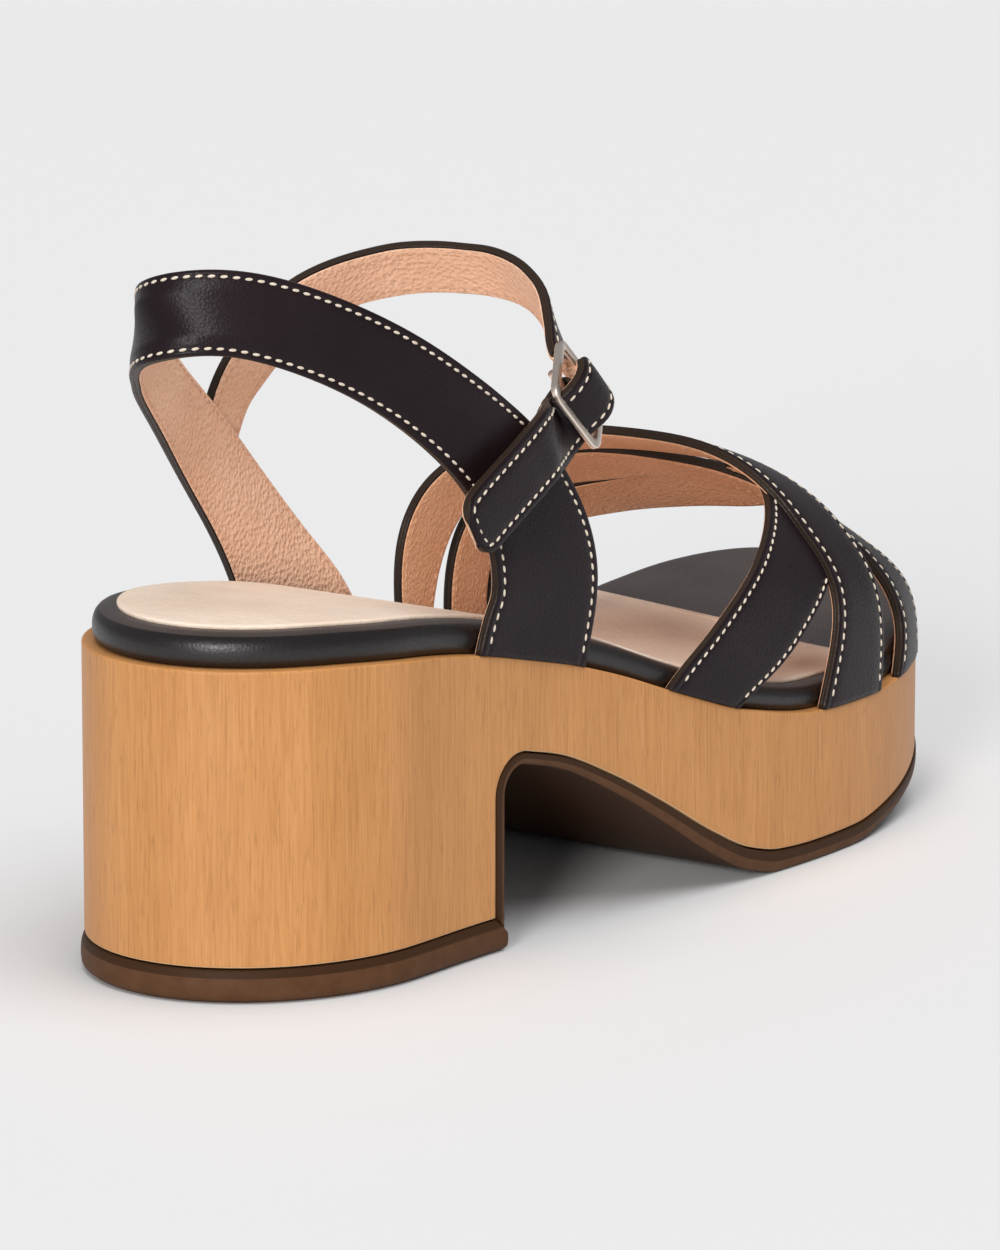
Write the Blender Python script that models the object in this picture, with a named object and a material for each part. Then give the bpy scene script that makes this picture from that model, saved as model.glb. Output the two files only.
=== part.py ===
"""Heeled sandal, right foot: wooden platform, rubber outsole, leather-covered footbed and leather straps.

All tables are in millimetres with the back of the heel at y = 0, the toe at +Y, the outer side of the
foot at +X and the floor at z = 0. The finished meshes are in metres, centred on the footprint.
"""
import math

import bmesh
import bpy
import numpy as np

MM = 0.001

# Driving sizes
LENGTH = 247.0
HEEL_HALF_WIDTH = 33.5
HEEL_ROUND = 40.0
OUTER_WAIST_Y = 52.0
OUTER_BALL_Y = 162.0
OUTER_BALL = 42.3
INNER_WAIST_Y = 92.0
INNER_WAIST = 32.3
INNER_BALL_Y = 205.0
INNER_BALL = 48.5
TOE_TIP_X = -20.0
INNER_TOE_POWER = 2.0
OUTER_TOE_POWER = 2.22
LIFT_HEIGHT = 6.7
BREAST_Y = 64.3
BREAST_FILLET = 8.0
BREAST_SHEET = 2.8
SHEET_STAND_OUT = 0.3
GAP = 0.3
WALL = 2.0
STRAP_INSET = 1.7
SEAT_BLEND = 20.0
TIP_LENGTH = 4.0
TIP_SHARE = 0.55
FOOTBED_INSET = 2.0
SOCK_INSET = 4.6
SOCK_THICKNESS = 1.0
SOCK_FRONT_OUTER = 192.0
SOCK_FRONT_INNER = 207.0
TIP_ROWS = 0.5
BLANK_REACH = 70.0
BLANK_BOTTOM = -5.0
BLANK_TOP = 90.0
OVERSHOOT = 3.0
ARCH_START = 78.0
ARCH_END = 150.0
FOREFOOT_START = 154.0
SHARP_ANGLE = 35.0

# Counts of points along each curve
STATIONS_HEEL = 12
STATIONS_SIDE = 14
STATIONS_TOE = 14
TOP_POINTS = 42
FILLET_POINTS = 7
ARCH_POINTS = 19
FOREFOOT_POINTS = 20
VAMP_POINTS = 44
VAMP_ACROSS = 4
LOOP_POINTS = 76
LOOP_ACROSS = 4
ANKLE_POINTS = 70
ANKLE_ACROSS = 2
TIP_POINTS = 7
TAB_POINTS = 41
CORNER_POINTS = 5
WIRE_SIDES = 8

# Buckle: middle of the frame, its long direction (along the strap) and its outward direction
BUCKLE_CENTRE = (32.1, 93.3, 102.7)
BUCKLE_LONG = (-0.37, 0.66, 0.65)
BUCKLE_NORMAL = (0.93, 0.23, 0.30)
BUCKLE_ALONG = 13.0
BUCKLE_ACROSS = 17.2
BUCKLE_CORNER = 1.9
BUCKLE_WIRE = 0.9
BAR_WIRE = 0.8
BAR_DEPTH = -1.2
BAR_PLACE = -0.8
TAB_WIDTH = 9.0
TAB_WALL = 1.2

# Side profile of the sole: station, top of the wood, thickness of the footbed
TOP_ROWS = (
    (0.0, 62.7, 6.6),
    (20.0, 62.4, 6.6),
    (40.0, 60.9, 6.5),
    (60.0, 58.2, 6.4),
    (80.0, 53.9, 6.2),
    (100.0, 48.0, 6.0),
    (120.0, 40.7, 5.6),
    (140.0, 34.3, 5.2),
    (165.0, 30.1, 5.0),
    (190.0, 29.6, 5.0),
    (215.0, 31.5, 6.0),
    (230.0, 33.8, 6.4),
    (246.0, 36.6, 6.5),
)

# Underside in front of the heel: station, bottom of the wood, bottom of the rubber
UNDERSIDE_ROWS = (
    (73.0, 37.6, 35.1),
    (84.0, 34.9, 32.2),
    (98.6, 28.6, 25.4),
    (113.5, 20.6, 16.8),
    (128.8, 11.8, 7.4),
    (140.0, 6.7, 2.1),
    (150.0, 4.6, 0.0),
    (162.0, 4.1, 0.0),
    (178.0, 4.2, 0.0),
    (190.0, 5.5, 1.7),
    (210.0, 8.9, 5.2),
    (228.0, 12.6, 9.0),
    (250.0, 17.2, 13.7),
)

# Edge of the heel lift: height over the floor, how far it stands out of the wood's outline
LIFT_EDGE_ROWS = (
    (-1.0, -1.2),
    (0.0, -0.6),
    (0.8, 0.4),
    (1.9, 0.7),
    (3.9, 0.7),
    (6.4, 0.0),
    (9.0, 0.0),
)

# Edge of the footbed: share of its thickness, inset from its own outline
FOOTBED_EDGE_ROWS = (
    (0.0, 0.8),
    (0.22, 0.15),
    (0.5, 0.0),
    (0.76, 0.5),
    (0.93, 1.6),
    (1.0, 3.2),
)

# Form of the foot over the wood: station, crest height, crest x, power of the outer and of the inner side
FORM_ROWS = (
    (100.0, 78.0, -3.0, 2.3, 2.3),
    (120.0, 68.0, -3.0, 2.3, 2.4),
    (140.0, 58.5, -3.0, 2.4, 2.5),
    (160.0, 50.0, -3.0, 2.5, 2.7),
    (180.0, 43.0, -3.0, 2.5, 3.0),
    (195.0, 35.5, -3.0, 2.6, 3.3),
    (210.0, 28.0, -4.0, 2.6, 3.3),
    (225.0, 23.5, -4.0, 2.6, 3.3),
    (246.0, 17.0, -4.0, 2.6, 3.3),
)

# Vamp straps over the form: angle from the outer side (0) over the crest (90) to the inner side (180),
# station of the rear edge, station of the front edge, lift of each edge over the form
REAR_STRAP_ROWS = (
    (0.0, 164.0, 188.0, 0.0, 0.0),
    (12.0, 170.0, 190.0, 0.3, 0.3),
    (25.0, 172.0, 189.5, 1.4, 1.4),
    (40.0, 167.0, 187.5, 1.5, 1.5),
    (55.0, 165.0, 184.0, 2.0, 2.0),
    (75.0, 164.0, 179.5, 1.6, 1.6),
    (95.0, 161.0, 175.5, 0.4, 0.4),
    (115.0, 155.0, 169.0, 0.0, 0.0),
    (135.0, 144.0, 160.0, 0.0, 0.0),
    (150.0, 133.0, 151.0, 0.0, 0.0),
    (165.0, 127.0, 145.0, 0.0, 0.0),
    (180.0, 130.0, 142.0, 0.0, 0.0),
)
FRONT_STRAP_ROWS = (
    (0.0, 198.0, 215.0, 0.0, 0.0),
    (12.0, 204.0, 218.0, 0.0, 0.0),
    (25.0, 201.5, 216.0, 0.0, 0.0),
    (40.0, 195.0, 209.0, -0.2, -0.2),
    (55.0, 189.0, 203.0, -0.7, -0.7),
    (75.0, 182.4, 196.0, -0.7, -0.7),
    (95.0, 177.4, 190.5, -0.7, -0.7),
    (115.0, 171.0, 191.5, 0.0, -1.0),
    (135.0, 162.4, 182.0, 0.0, -0.4),
    (150.0, 154.0, 174.0, 0.0, 0.0),
    (165.0, 151.0, 169.0, 0.0, 0.0),
    (180.0, 153.0, 170.0, 0.0, 0.0),
)
CROSS_STRAP_ROWS = (
    (0.0, 115.0, 136.0, 0.0, 0.0),
    (6.0, 124.0, 149.0, 0.0, 0.0),
    (12.0, 131.5, 157.0, 0.0, 0.0),
    (25.0, 145.5, 171.0, 0.0, 0.0),
    (40.0, 157.0, 183.0, 0.0, 0.0),
    (55.0, 167.0, 192.0, 0.6, 0.6),
    (75.0, 178.0, 200.0, 0.7, 0.0),
    (95.0, 188.5, 206.0, 0.7, -2.4),
    (115.0, 195.0, 211.0, 0.2, -2.2),
    (135.0, 186.5, 209.0, 0.0, -0.8),
    (150.0, 177.0, 195.5, 0.0, -0.5),
    (165.0, 171.5, 189.0, 0.0, 0.0),
    (180.0, 172.5, 188.0, 0.0, 0.0),
)

# Heel loop from its outer foot round the back to its inner foot, each end trimmed on the wood:
# x, y, z of the middle, width, bearing of the outward face, upward lean of that face (degrees)
HEEL_LOOP_ROWS = (
    (33.0, 71.3, 41.6, 33.4, -4.0, 0.0),
    (34.1, 75.0, 55.3, 32.0, -4.0, 0.0),
    (35.3, 78.7, 69.0, 30.6, -5.0, 0.3),
    (33.6, 72.7, 86.6, 24.0, -6.0, 4.5),
    (31.4, 59.2, 101.1, 18.2, -14.0, 4.8),
    (24.2, 38.5, 116.5, 16.0, -27.0, 3.0),
    (12.0, 16.4, 126.9, 16.0, -50.0, 7.0),
    (-3.3, 7.2, 125.8, 16.0, -97.0, 14.0),
    (-16.2, 20.8, 117.6, 16.0, -140.0, 9.0),
    (-25.7, 40.6, 104.5, 16.5, -155.0, 2.0),
    (-30.6, 57.4, 91.6, 17.5, -167.0, 4.0),
    (-33.0, 71.3, 78.5, 20.0, -170.0, 0.5),
    (-32.6, 82.2, 64.2, 25.0, -174.0, -3.0),
    (-32.1, 90.1, 51.3, 31.0, -180.0, 0.0),
    (-31.8, 98.0, 38.4, 34.0, -182.0, 0.0),
    (-31.5, 106.0, 25.5, 37.0, -184.0, 0.0),
)

# Ankle strap from the outside of the loop's inner leg over the instep and through the buckle to its
# free tip, same columns
ANKLE_ROWS = (
    (-34.3, 63.0, 80.0, 13.5, 188.0, 1.0),
    (-33.6, 66.6, 91.0, 13.5, 187.0, 4.0),
    (-31.2, 71.0, 103.0, 13.5, 178.0, 11.0),
    (-25.6, 83.8, 115.9, 13.5, 149.0, 30.0),
    (-15.4, 99.4, 121.2, 13.5, 114.0, 37.0),
    (1.0, 107.5, 121.5, 13.5, 92.0, 38.0),
    (14.6, 104.0, 118.9, 13.5, 66.0, 30.0),
    (21.3, 100.6, 112.4, 13.2, 38.0, 22.0),
    (26.9, 96.5, 105.6, 13.0, 16.0, 17.0),
    (30.4, 95.2, 104.5, 13.0, 14.0, 17.0),
    (33.7, 95.3, 104.9, 13.0, 14.0, 17.0),
    (35.5, 93.5, 103.2, 13.0, 14.0, 17.0),
    (31.6, 88.3, 97.6, 13.0, 12.0, 15.0),
    (33.3, 83.6, 96.6, 13.5, 8.0, 12.0),
    (36.0, 78.3, 96.2, 13.5, 2.0, 6.0),
    (36.9, 72.0, 93.6, 13.5, -2.0, 3.0),
    (37.2, 57.8, 86.8, 13.5, -4.0, 2.0),
    (37.4, 50.6, 82.8, 13.5, -5.0, 1.0),
)

# Middle line of the buckle tab: along the buckle, out from the buckle
TAB_ROWS = (
    (-23.0, -10.4),
    (-15.0, -7.7),
    (-9.5, -6.3),
    (-5.5, -5.5),
    (-2.4, -3.9),
    (-0.8, -2.9),
    (0.4, -2.4),
    (0.9, -1.2),
    (0.4, 0.0),
    (-0.8, 0.5),
)


def smooth_table(rows, column, y):
    """Monotone cubic through one column of a table whose first column is the station."""
    xs = np.array([row[0] for row in rows])
    vs = np.array([row[column] for row in rows])
    step = np.diff(xs)
    slope = np.diff(vs) / step
    tangent = np.concatenate(([slope[0]], np.zeros(len(xs) - 2), [slope[-1]]))
    same_way = slope[:-1] * slope[1:] > 0.0
    mean = 2.0 * slope[:-1] * slope[1:] / np.where(same_way, slope[:-1] + slope[1:], 1.0)
    tangent[1:-1] = np.where(same_way, mean, 0.0)
    y = np.clip(np.asarray(y, dtype=float), xs[0], xs[-1])
    i = np.clip(np.searchsorted(xs, y, side="right") - 1, 0, len(xs) - 2)
    t = (y - xs[i]) / step[i]
    rise = t * t * (3.0 - 2.0 * t)
    start = tangent[i] * step[i] * t * (1.0 - t) ** 2
    end = tangent[i + 1] * step[i] * t * t * (t - 1.0)
    return vs[i] + (vs[i + 1] - vs[i]) * rise + start + end


def through_rows(rows, places):
    """Points on a smooth curve through the rows, at places counted in rows."""
    table = np.array(rows, dtype=float)
    padded = np.vstack((2.0 * table[0] - table[1], table, 2.0 * table[-1] - table[-2]))
    i = np.minimum(places.astype(int), len(table) - 2)
    t = (places - i)[:, None]
    a, b, c, d = padded[i], padded[i + 1], padded[i + 2], padded[i + 3]
    bend = 2.0 * a - 5.0 * b + 4.0 * c - d
    turn = 3.0 * b - a - 3.0 * c + d
    return 0.5 * (2.0 * b + (c - a) * t + bend * t ** 2 + turn * t ** 3)


def even_places(rows, count):
    return np.linspace(0.0, len(rows) - 1.0, count)


def ease(t):
    """Smooth step from 0 to 1."""
    t = np.clip(t, 0.0, 1.0)
    return t * t * (3.0 - 2.0 * t)


def heel_half(y):
    """Half width of the round heel, the same on both sides."""
    return HEEL_HALF_WIDTH * np.sqrt(np.clip(1.0 - (1.0 - y / HEEL_ROUND) ** 2, 0.0, 1.0))


def outer_half(y):
    """Half width of the sole on the outer side."""
    y = np.asarray(y, dtype=float)
    waist = (y - OUTER_WAIST_Y) / (OUTER_BALL_Y - OUTER_WAIST_Y)
    side = HEEL_HALF_WIDTH + (OUTER_BALL - HEEL_HALF_WIDTH) * ease(waist)
    ahead = np.clip((y - OUTER_BALL_Y) / (LENGTH - OUTER_BALL_Y), 0.0, 1.0)
    curve = (1.0 - ahead ** OUTER_TOE_POWER) ** (1.0 / OUTER_TOE_POWER)
    toe = TOE_TIP_X + (OUTER_BALL - TOE_TIP_X) * curve
    front = np.where(y < OUTER_BALL_Y, side, toe)
    return np.where(y < HEEL_ROUND, heel_half(np.minimum(y, HEEL_ROUND)), front)


def inner_half(y):
    """Half width of the sole on the inner side, where the arch draws it in."""
    y = np.asarray(y, dtype=float)
    drawn_in = (y - HEEL_ROUND) / (INNER_WAIST_Y - HEEL_ROUND)
    swell = (y - INNER_WAIST_Y) / (INNER_BALL_Y - INNER_WAIST_Y)
    side = HEEL_HALF_WIDTH - (HEEL_HALF_WIDTH - INNER_WAIST) * ease(drawn_in)
    side = side + (INNER_BALL - INNER_WAIST) * ease(swell)
    ahead = np.clip((y - INNER_BALL_Y) / (LENGTH - INNER_BALL_Y), 0.0, 1.0)
    curve = (1.0 - ahead ** INNER_TOE_POWER) ** (1.0 / INNER_TOE_POWER)
    toe = -TOE_TIP_X + (INNER_BALL + TOE_TIP_X) * curve
    front = np.where(y < INNER_BALL_Y, side, toe)
    return np.where(y < HEEL_ROUND, heel_half(np.minimum(y, HEEL_ROUND)), front)


def stations():
    """Stations from the heel to the front, close together where the outline turns."""
    quarter = math.pi / 2.0
    heel = HEEL_ROUND * (1.0 - np.cos(np.linspace(0.0, quarter, STATIONS_HEEL + 1)))
    side = np.linspace(HEEL_ROUND, OUTER_BALL_Y, STATIONS_SIDE + 1)[1:]
    reach = LENGTH - OUTER_BALL_Y
    toe = OUTER_BALL_Y + reach * np.sin(np.linspace(0.0, quarter, STATIONS_TOE + 1)[1:])
    return np.concatenate((heel, side, toe))


def outline(inset=0.0):
    """Closed ring round the sole, out along the outer side and back along the inner side."""
    y = stations()
    outer = np.column_stack((outer_half(y), y))
    inner = np.column_stack((-inner_half(y), y))
    ring = np.vstack((outer, inner[-2:0:-1]))
    along = np.roll(ring, -1, axis=0) - np.roll(ring, 1, axis=0)
    along /= np.linalg.norm(along, axis=1)[:, None]
    inward = np.column_stack((-along[:, 1], along[:, 0]))
    return ring + inward * inset


def wood_top(y):
    return smooth_table(TOP_ROWS, 1, y)


def footbed_thickness(y):
    return smooth_table(TOP_ROWS, 2, y)


def form_point(y, angle):
    """Point of the foot's form, which starts on the wood at the outer edge of the footbed."""
    turn = np.radians(angle)
    crest = smooth_table(FORM_ROWS, 1, y)
    crest_x = smooth_table(FORM_ROWS, 2, y)
    outer_side = np.cos(turn) >= 0.0
    power = np.where(outer_side, smooth_table(FORM_ROWS, 3, y), smooth_table(FORM_ROWS, 4, y))
    reach = np.where(outer_side, outer_half(y) - STRAP_INSET - crest_x, inner_half(y) - STRAP_INSET + crest_x)
    across = np.abs(np.cos(turn)) ** (2.0 / power)
    up = np.abs(np.sin(turn)) ** (2.0 / power)
    x = crest_x + np.sign(np.cos(turn)) * reach * across
    z = wood_top(y) + GAP + crest * up
    return np.stack((x, y + np.zeros_like(x), z), axis=-1)


def unit(vectors):
    return vectors / np.linalg.norm(vectors, axis=-1)[..., None]


def form_normal(y, angle):
    """Outward direction of the foot's form."""
    near = np.clip(angle, 1.0, 179.0)
    along = form_point(y + 0.5, near) - form_point(y - 0.5, near)
    around = form_point(y, near + 0.5) - form_point(y, near - 0.5)
    normal = unit(np.cross(along, around))
    level = (angle < 1.0) | (angle > 179.0)
    normal[..., 2] = np.where(level, 0.0, normal[..., 2])
    return unit(normal)


def strap_on_form(rows):
    """Outer and inner face of a vamp strap, as two grids of points."""
    line = through_rows(rows, even_places(rows, VAMP_POINTS))
    angle = np.clip(line[:, 0], 0.0, 180.0)
    share = np.linspace(0.0, 1.0, VAMP_ACROSS + 1)
    angles = angle[:, None] + np.zeros(VAMP_ACROSS + 1)
    y = line[:, 1:2] + (line[:, 2:3] - line[:, 1:2]) * share
    base = form_point(y, angles)
    normal = form_normal(y, angles)
    lift = (line[:, 3:4] + (line[:, 4:5] - line[:, 3:4]) * share)[..., None]
    return base + normal * (lift + WALL), base + normal * lift


def ribbon(rows, places, across, tip=False):
    """Outer and inner face of a free ribbon, as two grids of points; a tip is rounded off."""
    line = through_rows(rows, places)
    middle = line[:, :3]
    along = unit(np.gradient(middle, axis=0))
    bearing = np.radians(line[:, 4])
    lean = np.radians(line[:, 5])
    flat = np.cos(lean)
    facing = np.column_stack((np.cos(bearing) * flat, np.sin(bearing) * flat, np.sin(lean)))
    cross = unit(np.cross(facing, along))
    facing = unit(np.cross(along, cross))
    width = line[:, 3]
    if tip:
        left = np.linalg.norm(middle - middle[-1], axis=1)
        round_off = np.sqrt(1.0 - np.clip(1.0 - left / TIP_LENGTH, 0.0, 1.0) ** 2)
        width = width * np.maximum(round_off, TIP_SHARE)
    share = np.linspace(-0.5, 0.5, across + 1)
    face = middle[:, None, :] + cross[:, None, :] * (width[:, None] * share)[:, :, None]
    out = facing[:, None, :] * WALL / 2.0
    return face + out, face - out


def seat_ends(faces, ends):
    """Stands the end rows of a strap on the wood."""
    for face in faces:
        for end in ends:
            face[end, :, 2] = wood_top(face[end, :, 1]) + GAP


def trim_to_seat(face, inset):
    """Cuts both ends of a strap's face on the wood and draws its feet to the sole's edge."""
    rows = len(face)
    places = np.arange(rows, dtype=float)
    for j in range(face.shape[1]):
        line = face[:, j].copy()
        over = line[:, 2] - wood_top(line[:, 1]) - GAP
        above = np.flatnonzero(over > 0.0)
        first, last = above[0], above[-1]
        start = first - over[first] / (over[first] - over[first - 1])
        end = last + over[last] / (over[last] - over[last + 1])
        spread = np.linspace(start, end, rows)
        for axis in range(3):
            face[:, j, axis] = np.interp(spread, places, line[:, axis])
    over = face[..., 2] - wood_top(face[..., 1]) - GAP
    pull = 1.0 - ease(over / SEAT_BLEND)
    outer = face[..., 0] > 0.0
    edge = np.where(outer, outer_half(face[..., 1]) - inset, inset - inner_half(face[..., 1]))
    face[..., 0] += (edge - face[..., 0]) * pull


def add_object(name, verts, faces, material):
    """New object from points in millimetres, with its faces turned outwards."""
    mesh = bpy.data.meshes.new(name)
    mesh.from_pydata([tuple(point) for point in np.asarray(verts) * MM], [], faces)
    work = bmesh.new()
    work.from_mesh(mesh)
    bmesh.ops.triangulate(work, faces=work.faces)
    bmesh.ops.recalc_face_normals(work, faces=work.faces)
    if work.calc_volume(signed=True) < 0.0:
        bmesh.ops.reverse_faces(work, faces=work.faces)
    work.to_mesh(mesh)
    work.free()
    mesh.materials.append(material)
    mesh.shade_smooth()
    mesh.set_sharp_from_angle(angle=math.radians(SHARP_ANGLE))
    thing = bpy.data.objects.new(name, mesh)
    bpy.context.collection.objects.link(thing)
    return thing


def sheet_solid(name, outer, inner, material):
    """Closed solid between two grids of points."""
    rows, columns = outer.shape[:2]
    verts = np.concatenate((outer.reshape(-1, 3), inner.reshape(-1, 3)))
    offset = rows * columns

    def at(i, j, side):
        return side * offset + i * columns + j

    faces = []
    for side in (0, 1):
        for i in range(rows - 1):
            for j in range(columns - 1):
                faces.append((at(i, j, side), at(i + 1, j, side), at(i + 1, j + 1, side), at(i, j + 1, side)))
    for j in (0, columns - 1):
        for i in range(rows - 1):
            faces.append((at(i, j, 0), at(i + 1, j, 0), at(i + 1, j, 1), at(i, j, 1)))
    for i in (0, rows - 1):
        for j in range(columns - 1):
            faces.append((at(i, j, 0), at(i, j + 1, 0), at(i, j + 1, 1), at(i, j, 1)))
    return add_object(name, verts, faces, material)


def cap_faces(first, count, stations_count):
    """Strips across a ring, between its two sides."""
    def inner(i):
        return first + (count - i) % count

    strips = []
    for i in range(stations_count - 1):
        corners = (first + i, first + i + 1, inner(i + 1), inner(i))
        strips.append(tuple(dict.fromkeys(corners)))
    return strips


def ring_solid(name, rings, stations_count, material):
    """Closed solid through rings of equal count, bottom first."""
    count = len(rings[0])
    verts = np.vstack(rings)
    faces = cap_faces(0, count, stations_count)
    for level in range(len(rings) - 1):
        low = level * count
        for i in range(count):
            j = (i + 1) % count
            faces.append((low + i, low + j, low + count + j, low + count + i))
    faces += cap_faces((len(rings) - 1) * count, count, stations_count)
    return add_object(name, verts, faces, material)


def profile_prism(name, profile, material):
    """Side profile drawn out across the whole width."""
    count = len(profile)
    left = [(-BLANK_REACH, y, z) for y, z in profile]
    right = [(BLANK_REACH, y, z) for y, z in profile]
    faces = [tuple(range(count)), tuple(range(count, 2 * count))]
    for i in range(count):
        j = (i + 1) % count
        faces.append((i, j, count + j, count + i))
    return add_object(name, left + right, faces, material)


def combine(target, tools, operation):
    """Boolean of a solid with others, which are then removed."""
    for tool in tools:
        step = target.modifiers.new("combine", "BOOLEAN")
        step.object = tool
        step.operation = operation
        step.solver = "EXACT"
    bpy.context.view_layer.update()
    evaluated = target.evaluated_get(bpy.context.evaluated_depsgraph_get())
    mesh = bpy.data.meshes.new_from_object(evaluated)
    target.modifiers.clear()
    target.data = mesh
    for tool in tools:
        bpy.data.objects.remove(tool)
    return target


def make_material(name, colour, roughness, metallic=0.0):
    material = bpy.data.materials.new(name)
    material.use_nodes = True
    shader = material.node_tree.nodes["Principled BSDF"]
    shader.inputs["Base Color"].default_value = (*colour, 1.0)
    shader.inputs["Roughness"].default_value = roughness
    shader.inputs["Metallic"].default_value = metallic
    return material


def arch_path(column, face_y, radius, drop):
    """Underside from the upright heel breast through its rounded corner along the arch to the toe."""
    ceiling = UNDERSIDE_ROWS[0][column] - drop
    turn = np.linspace(math.pi, math.pi / 2.0, FILLET_POINTS)
    path = [(face_y + radius * (1.0 + math.cos(a)), ceiling - radius * (1.0 - math.sin(a))) for a in turn]
    arch = np.linspace(ARCH_START, ARCH_END, ARCH_POINTS)
    front = np.concatenate((arch, np.linspace(FOREFOOT_START, LENGTH + OVERSHOOT, FOREFOOT_POINTS)))
    return path + [(y, float(smooth_table(UNDERSIDE_ROWS, column, y)) - drop) for y in front]


def outline_blank(name, edge_rows, material):
    """Upright blank with the sole's outline, standing out of it by a height table."""
    levels = []
    for z, stand_out in edge_rows:
        ring = outline(-stand_out)
        levels.append(np.column_stack((ring, np.full(len(ring), z))))
    return ring_solid(name, levels, len(stations()), material)


def make_wood(material):
    """Platform with block heel, arch and toe spring, cut from one blank by its outline."""
    top = [(y, float(wood_top(y))) for y in np.linspace(LENGTH + OVERSHOOT, -OVERSHOOT, TOP_POINTS)]
    bottom = [(-OVERSHOOT, LIFT_HEIGHT), (BREAST_Y, LIFT_HEIGHT)]
    wood = profile_prism("wood_base", bottom + arch_path(1, BREAST_Y, BREAST_FILLET, 0.0) + top, material)
    blank = outline_blank("wood_blank", ((BLANK_BOTTOM, 0.0), (BLANK_TOP, 0.0)), material)
    return combine(wood, [blank], "INTERSECT")


def make_lift(material):
    """Thick heel lift under the wood, its front corner mitred against the sheet on the breast."""
    front = BREAST_Y + BREAST_SHEET
    top = LIFT_HEIGHT - GAP
    back = -OVERSHOOT
    profile = [(back, 0.0), (front, 0.0), (front, top - BREAST_SHEET), (BREAST_Y, top), (back, top)]
    lift = profile_prism("heel_lift", profile, material)
    blank = outline_blank("lift_blank", LIFT_EDGE_ROWS, material)
    return combine(lift, [blank], "INTERSECT")


def make_outsole(material):
    """Rubber sheet up the heel breast, along the arch and under the forefoot."""
    upper = [(BREAST_Y + GAP, LIFT_HEIGHT)]
    upper += arch_path(1, BREAST_Y + GAP, BREAST_FILLET - GAP, GAP)
    lower = [(BREAST_Y + BREAST_SHEET, LIFT_HEIGHT - BREAST_SHEET)]
    lower += arch_path(2, BREAST_Y + BREAST_SHEET, BREAST_FILLET - BREAST_SHEET, 0.0)
    sole = profile_prism("outsole", upper + lower[::-1], material)
    edge_rows = ((BLANK_BOTTOM, SHEET_STAND_OUT), (BLANK_TOP, SHEET_STAND_OUT))
    blank = outline_blank("outsole_blank", edge_rows, material)
    return combine(sole, [blank], "INTERSECT")


def make_footbed(material):
    """Leather-covered board with a rounded edge, on the wood."""
    rings = []
    for share, inset in FOOTBED_EDGE_ROWS:
        ring = outline(FOOTBED_INSET + inset)
        z = wood_top(ring[:, 1]) + GAP + (footbed_thickness(ring[:, 1]) - GAP) * share
        rings.append(np.column_stack((ring, z)))
    return ring_solid("footbed", rings, len(stations()), material)


def make_sock(material):
    """Thin lining on the footbed, from the heel to the ball."""
    full = outline(FOOTBED_INSET + SOCK_INSET)
    tip = int(np.argmax(full[:, 1]))
    sides = []
    inner = np.vstack((full[tip:], full[:1]))[::-1]
    for side, front in ((full[:tip + 1], SOCK_FRONT_OUTER), (inner, SOCK_FRONT_INNER)):
        y = full[0, 1] + (front - full[0, 1]) * stations() / LENGTH
        sides.append(np.column_stack((np.interp(y, side[:, 1], side[:, 0]), y)))
    ring = np.vstack((sides[0], sides[1][:0:-1]))
    low = wood_top(ring[:, 1]) + footbed_thickness(ring[:, 1]) + GAP
    rings = [np.column_stack((ring, low + rise)) for rise in (0.0, SOCK_THICKNESS)]
    return ring_solid("sock", rings, len(stations()), material)


def make_vamp(material):
    """Two parallel straps and the one that crosses them, joined where they cross."""
    tables = (REAR_STRAP_ROWS, FRONT_STRAP_ROWS, CROSS_STRAP_ROWS)
    straps = []
    for index, rows in enumerate(tables):
        faces = strap_on_form(rows)
        seat_ends(faces, (0, -1))
        straps.append(sheet_solid("vamp_straps" if index == 0 else "vamp_part", *faces, material))
    return combine(straps[0], straps[1:], "UNION")


def make_quarter(material):
    """Loop round the heel, with the ankle strap joined to its inner side."""
    loop_faces = ribbon(HEEL_LOOP_ROWS, even_places(HEEL_LOOP_ROWS, LOOP_POINTS), LOOP_ACROSS)
    trim_to_seat(loop_faces[0], STRAP_INSET - WALL)
    trim_to_seat(loop_faces[1], STRAP_INSET)
    loop = sheet_solid("quarter_straps", *loop_faces, material)
    last = len(ANKLE_ROWS) - 1.0
    tip = last - TIP_ROWS * np.cos(np.linspace(0.0, math.pi / 2.0, TIP_POINTS))
    places = np.concatenate((np.linspace(0.0, last - TIP_ROWS, ANKLE_POINTS), tip[1:]))
    strap = sheet_solid("ankle_part", *ribbon(ANKLE_ROWS, places, ANKLE_ACROSS, tip=True), material)
    return combine(loop, [strap], "UNION")


def buckle_axes():
    """Long, cross and outward direction of the buckle."""
    out = unit(np.array(BUCKLE_NORMAL))
    along = np.array(BUCKLE_LONG)
    along = unit(along - out * (along @ out))
    return along, np.cross(out, along), out


def in_buckle(points):
    """Points given along, across and out of the buckle, placed on the shoe."""
    return np.array(BUCKLE_CENTRE) + np.asarray(points) @ np.array(buckle_axes())


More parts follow.
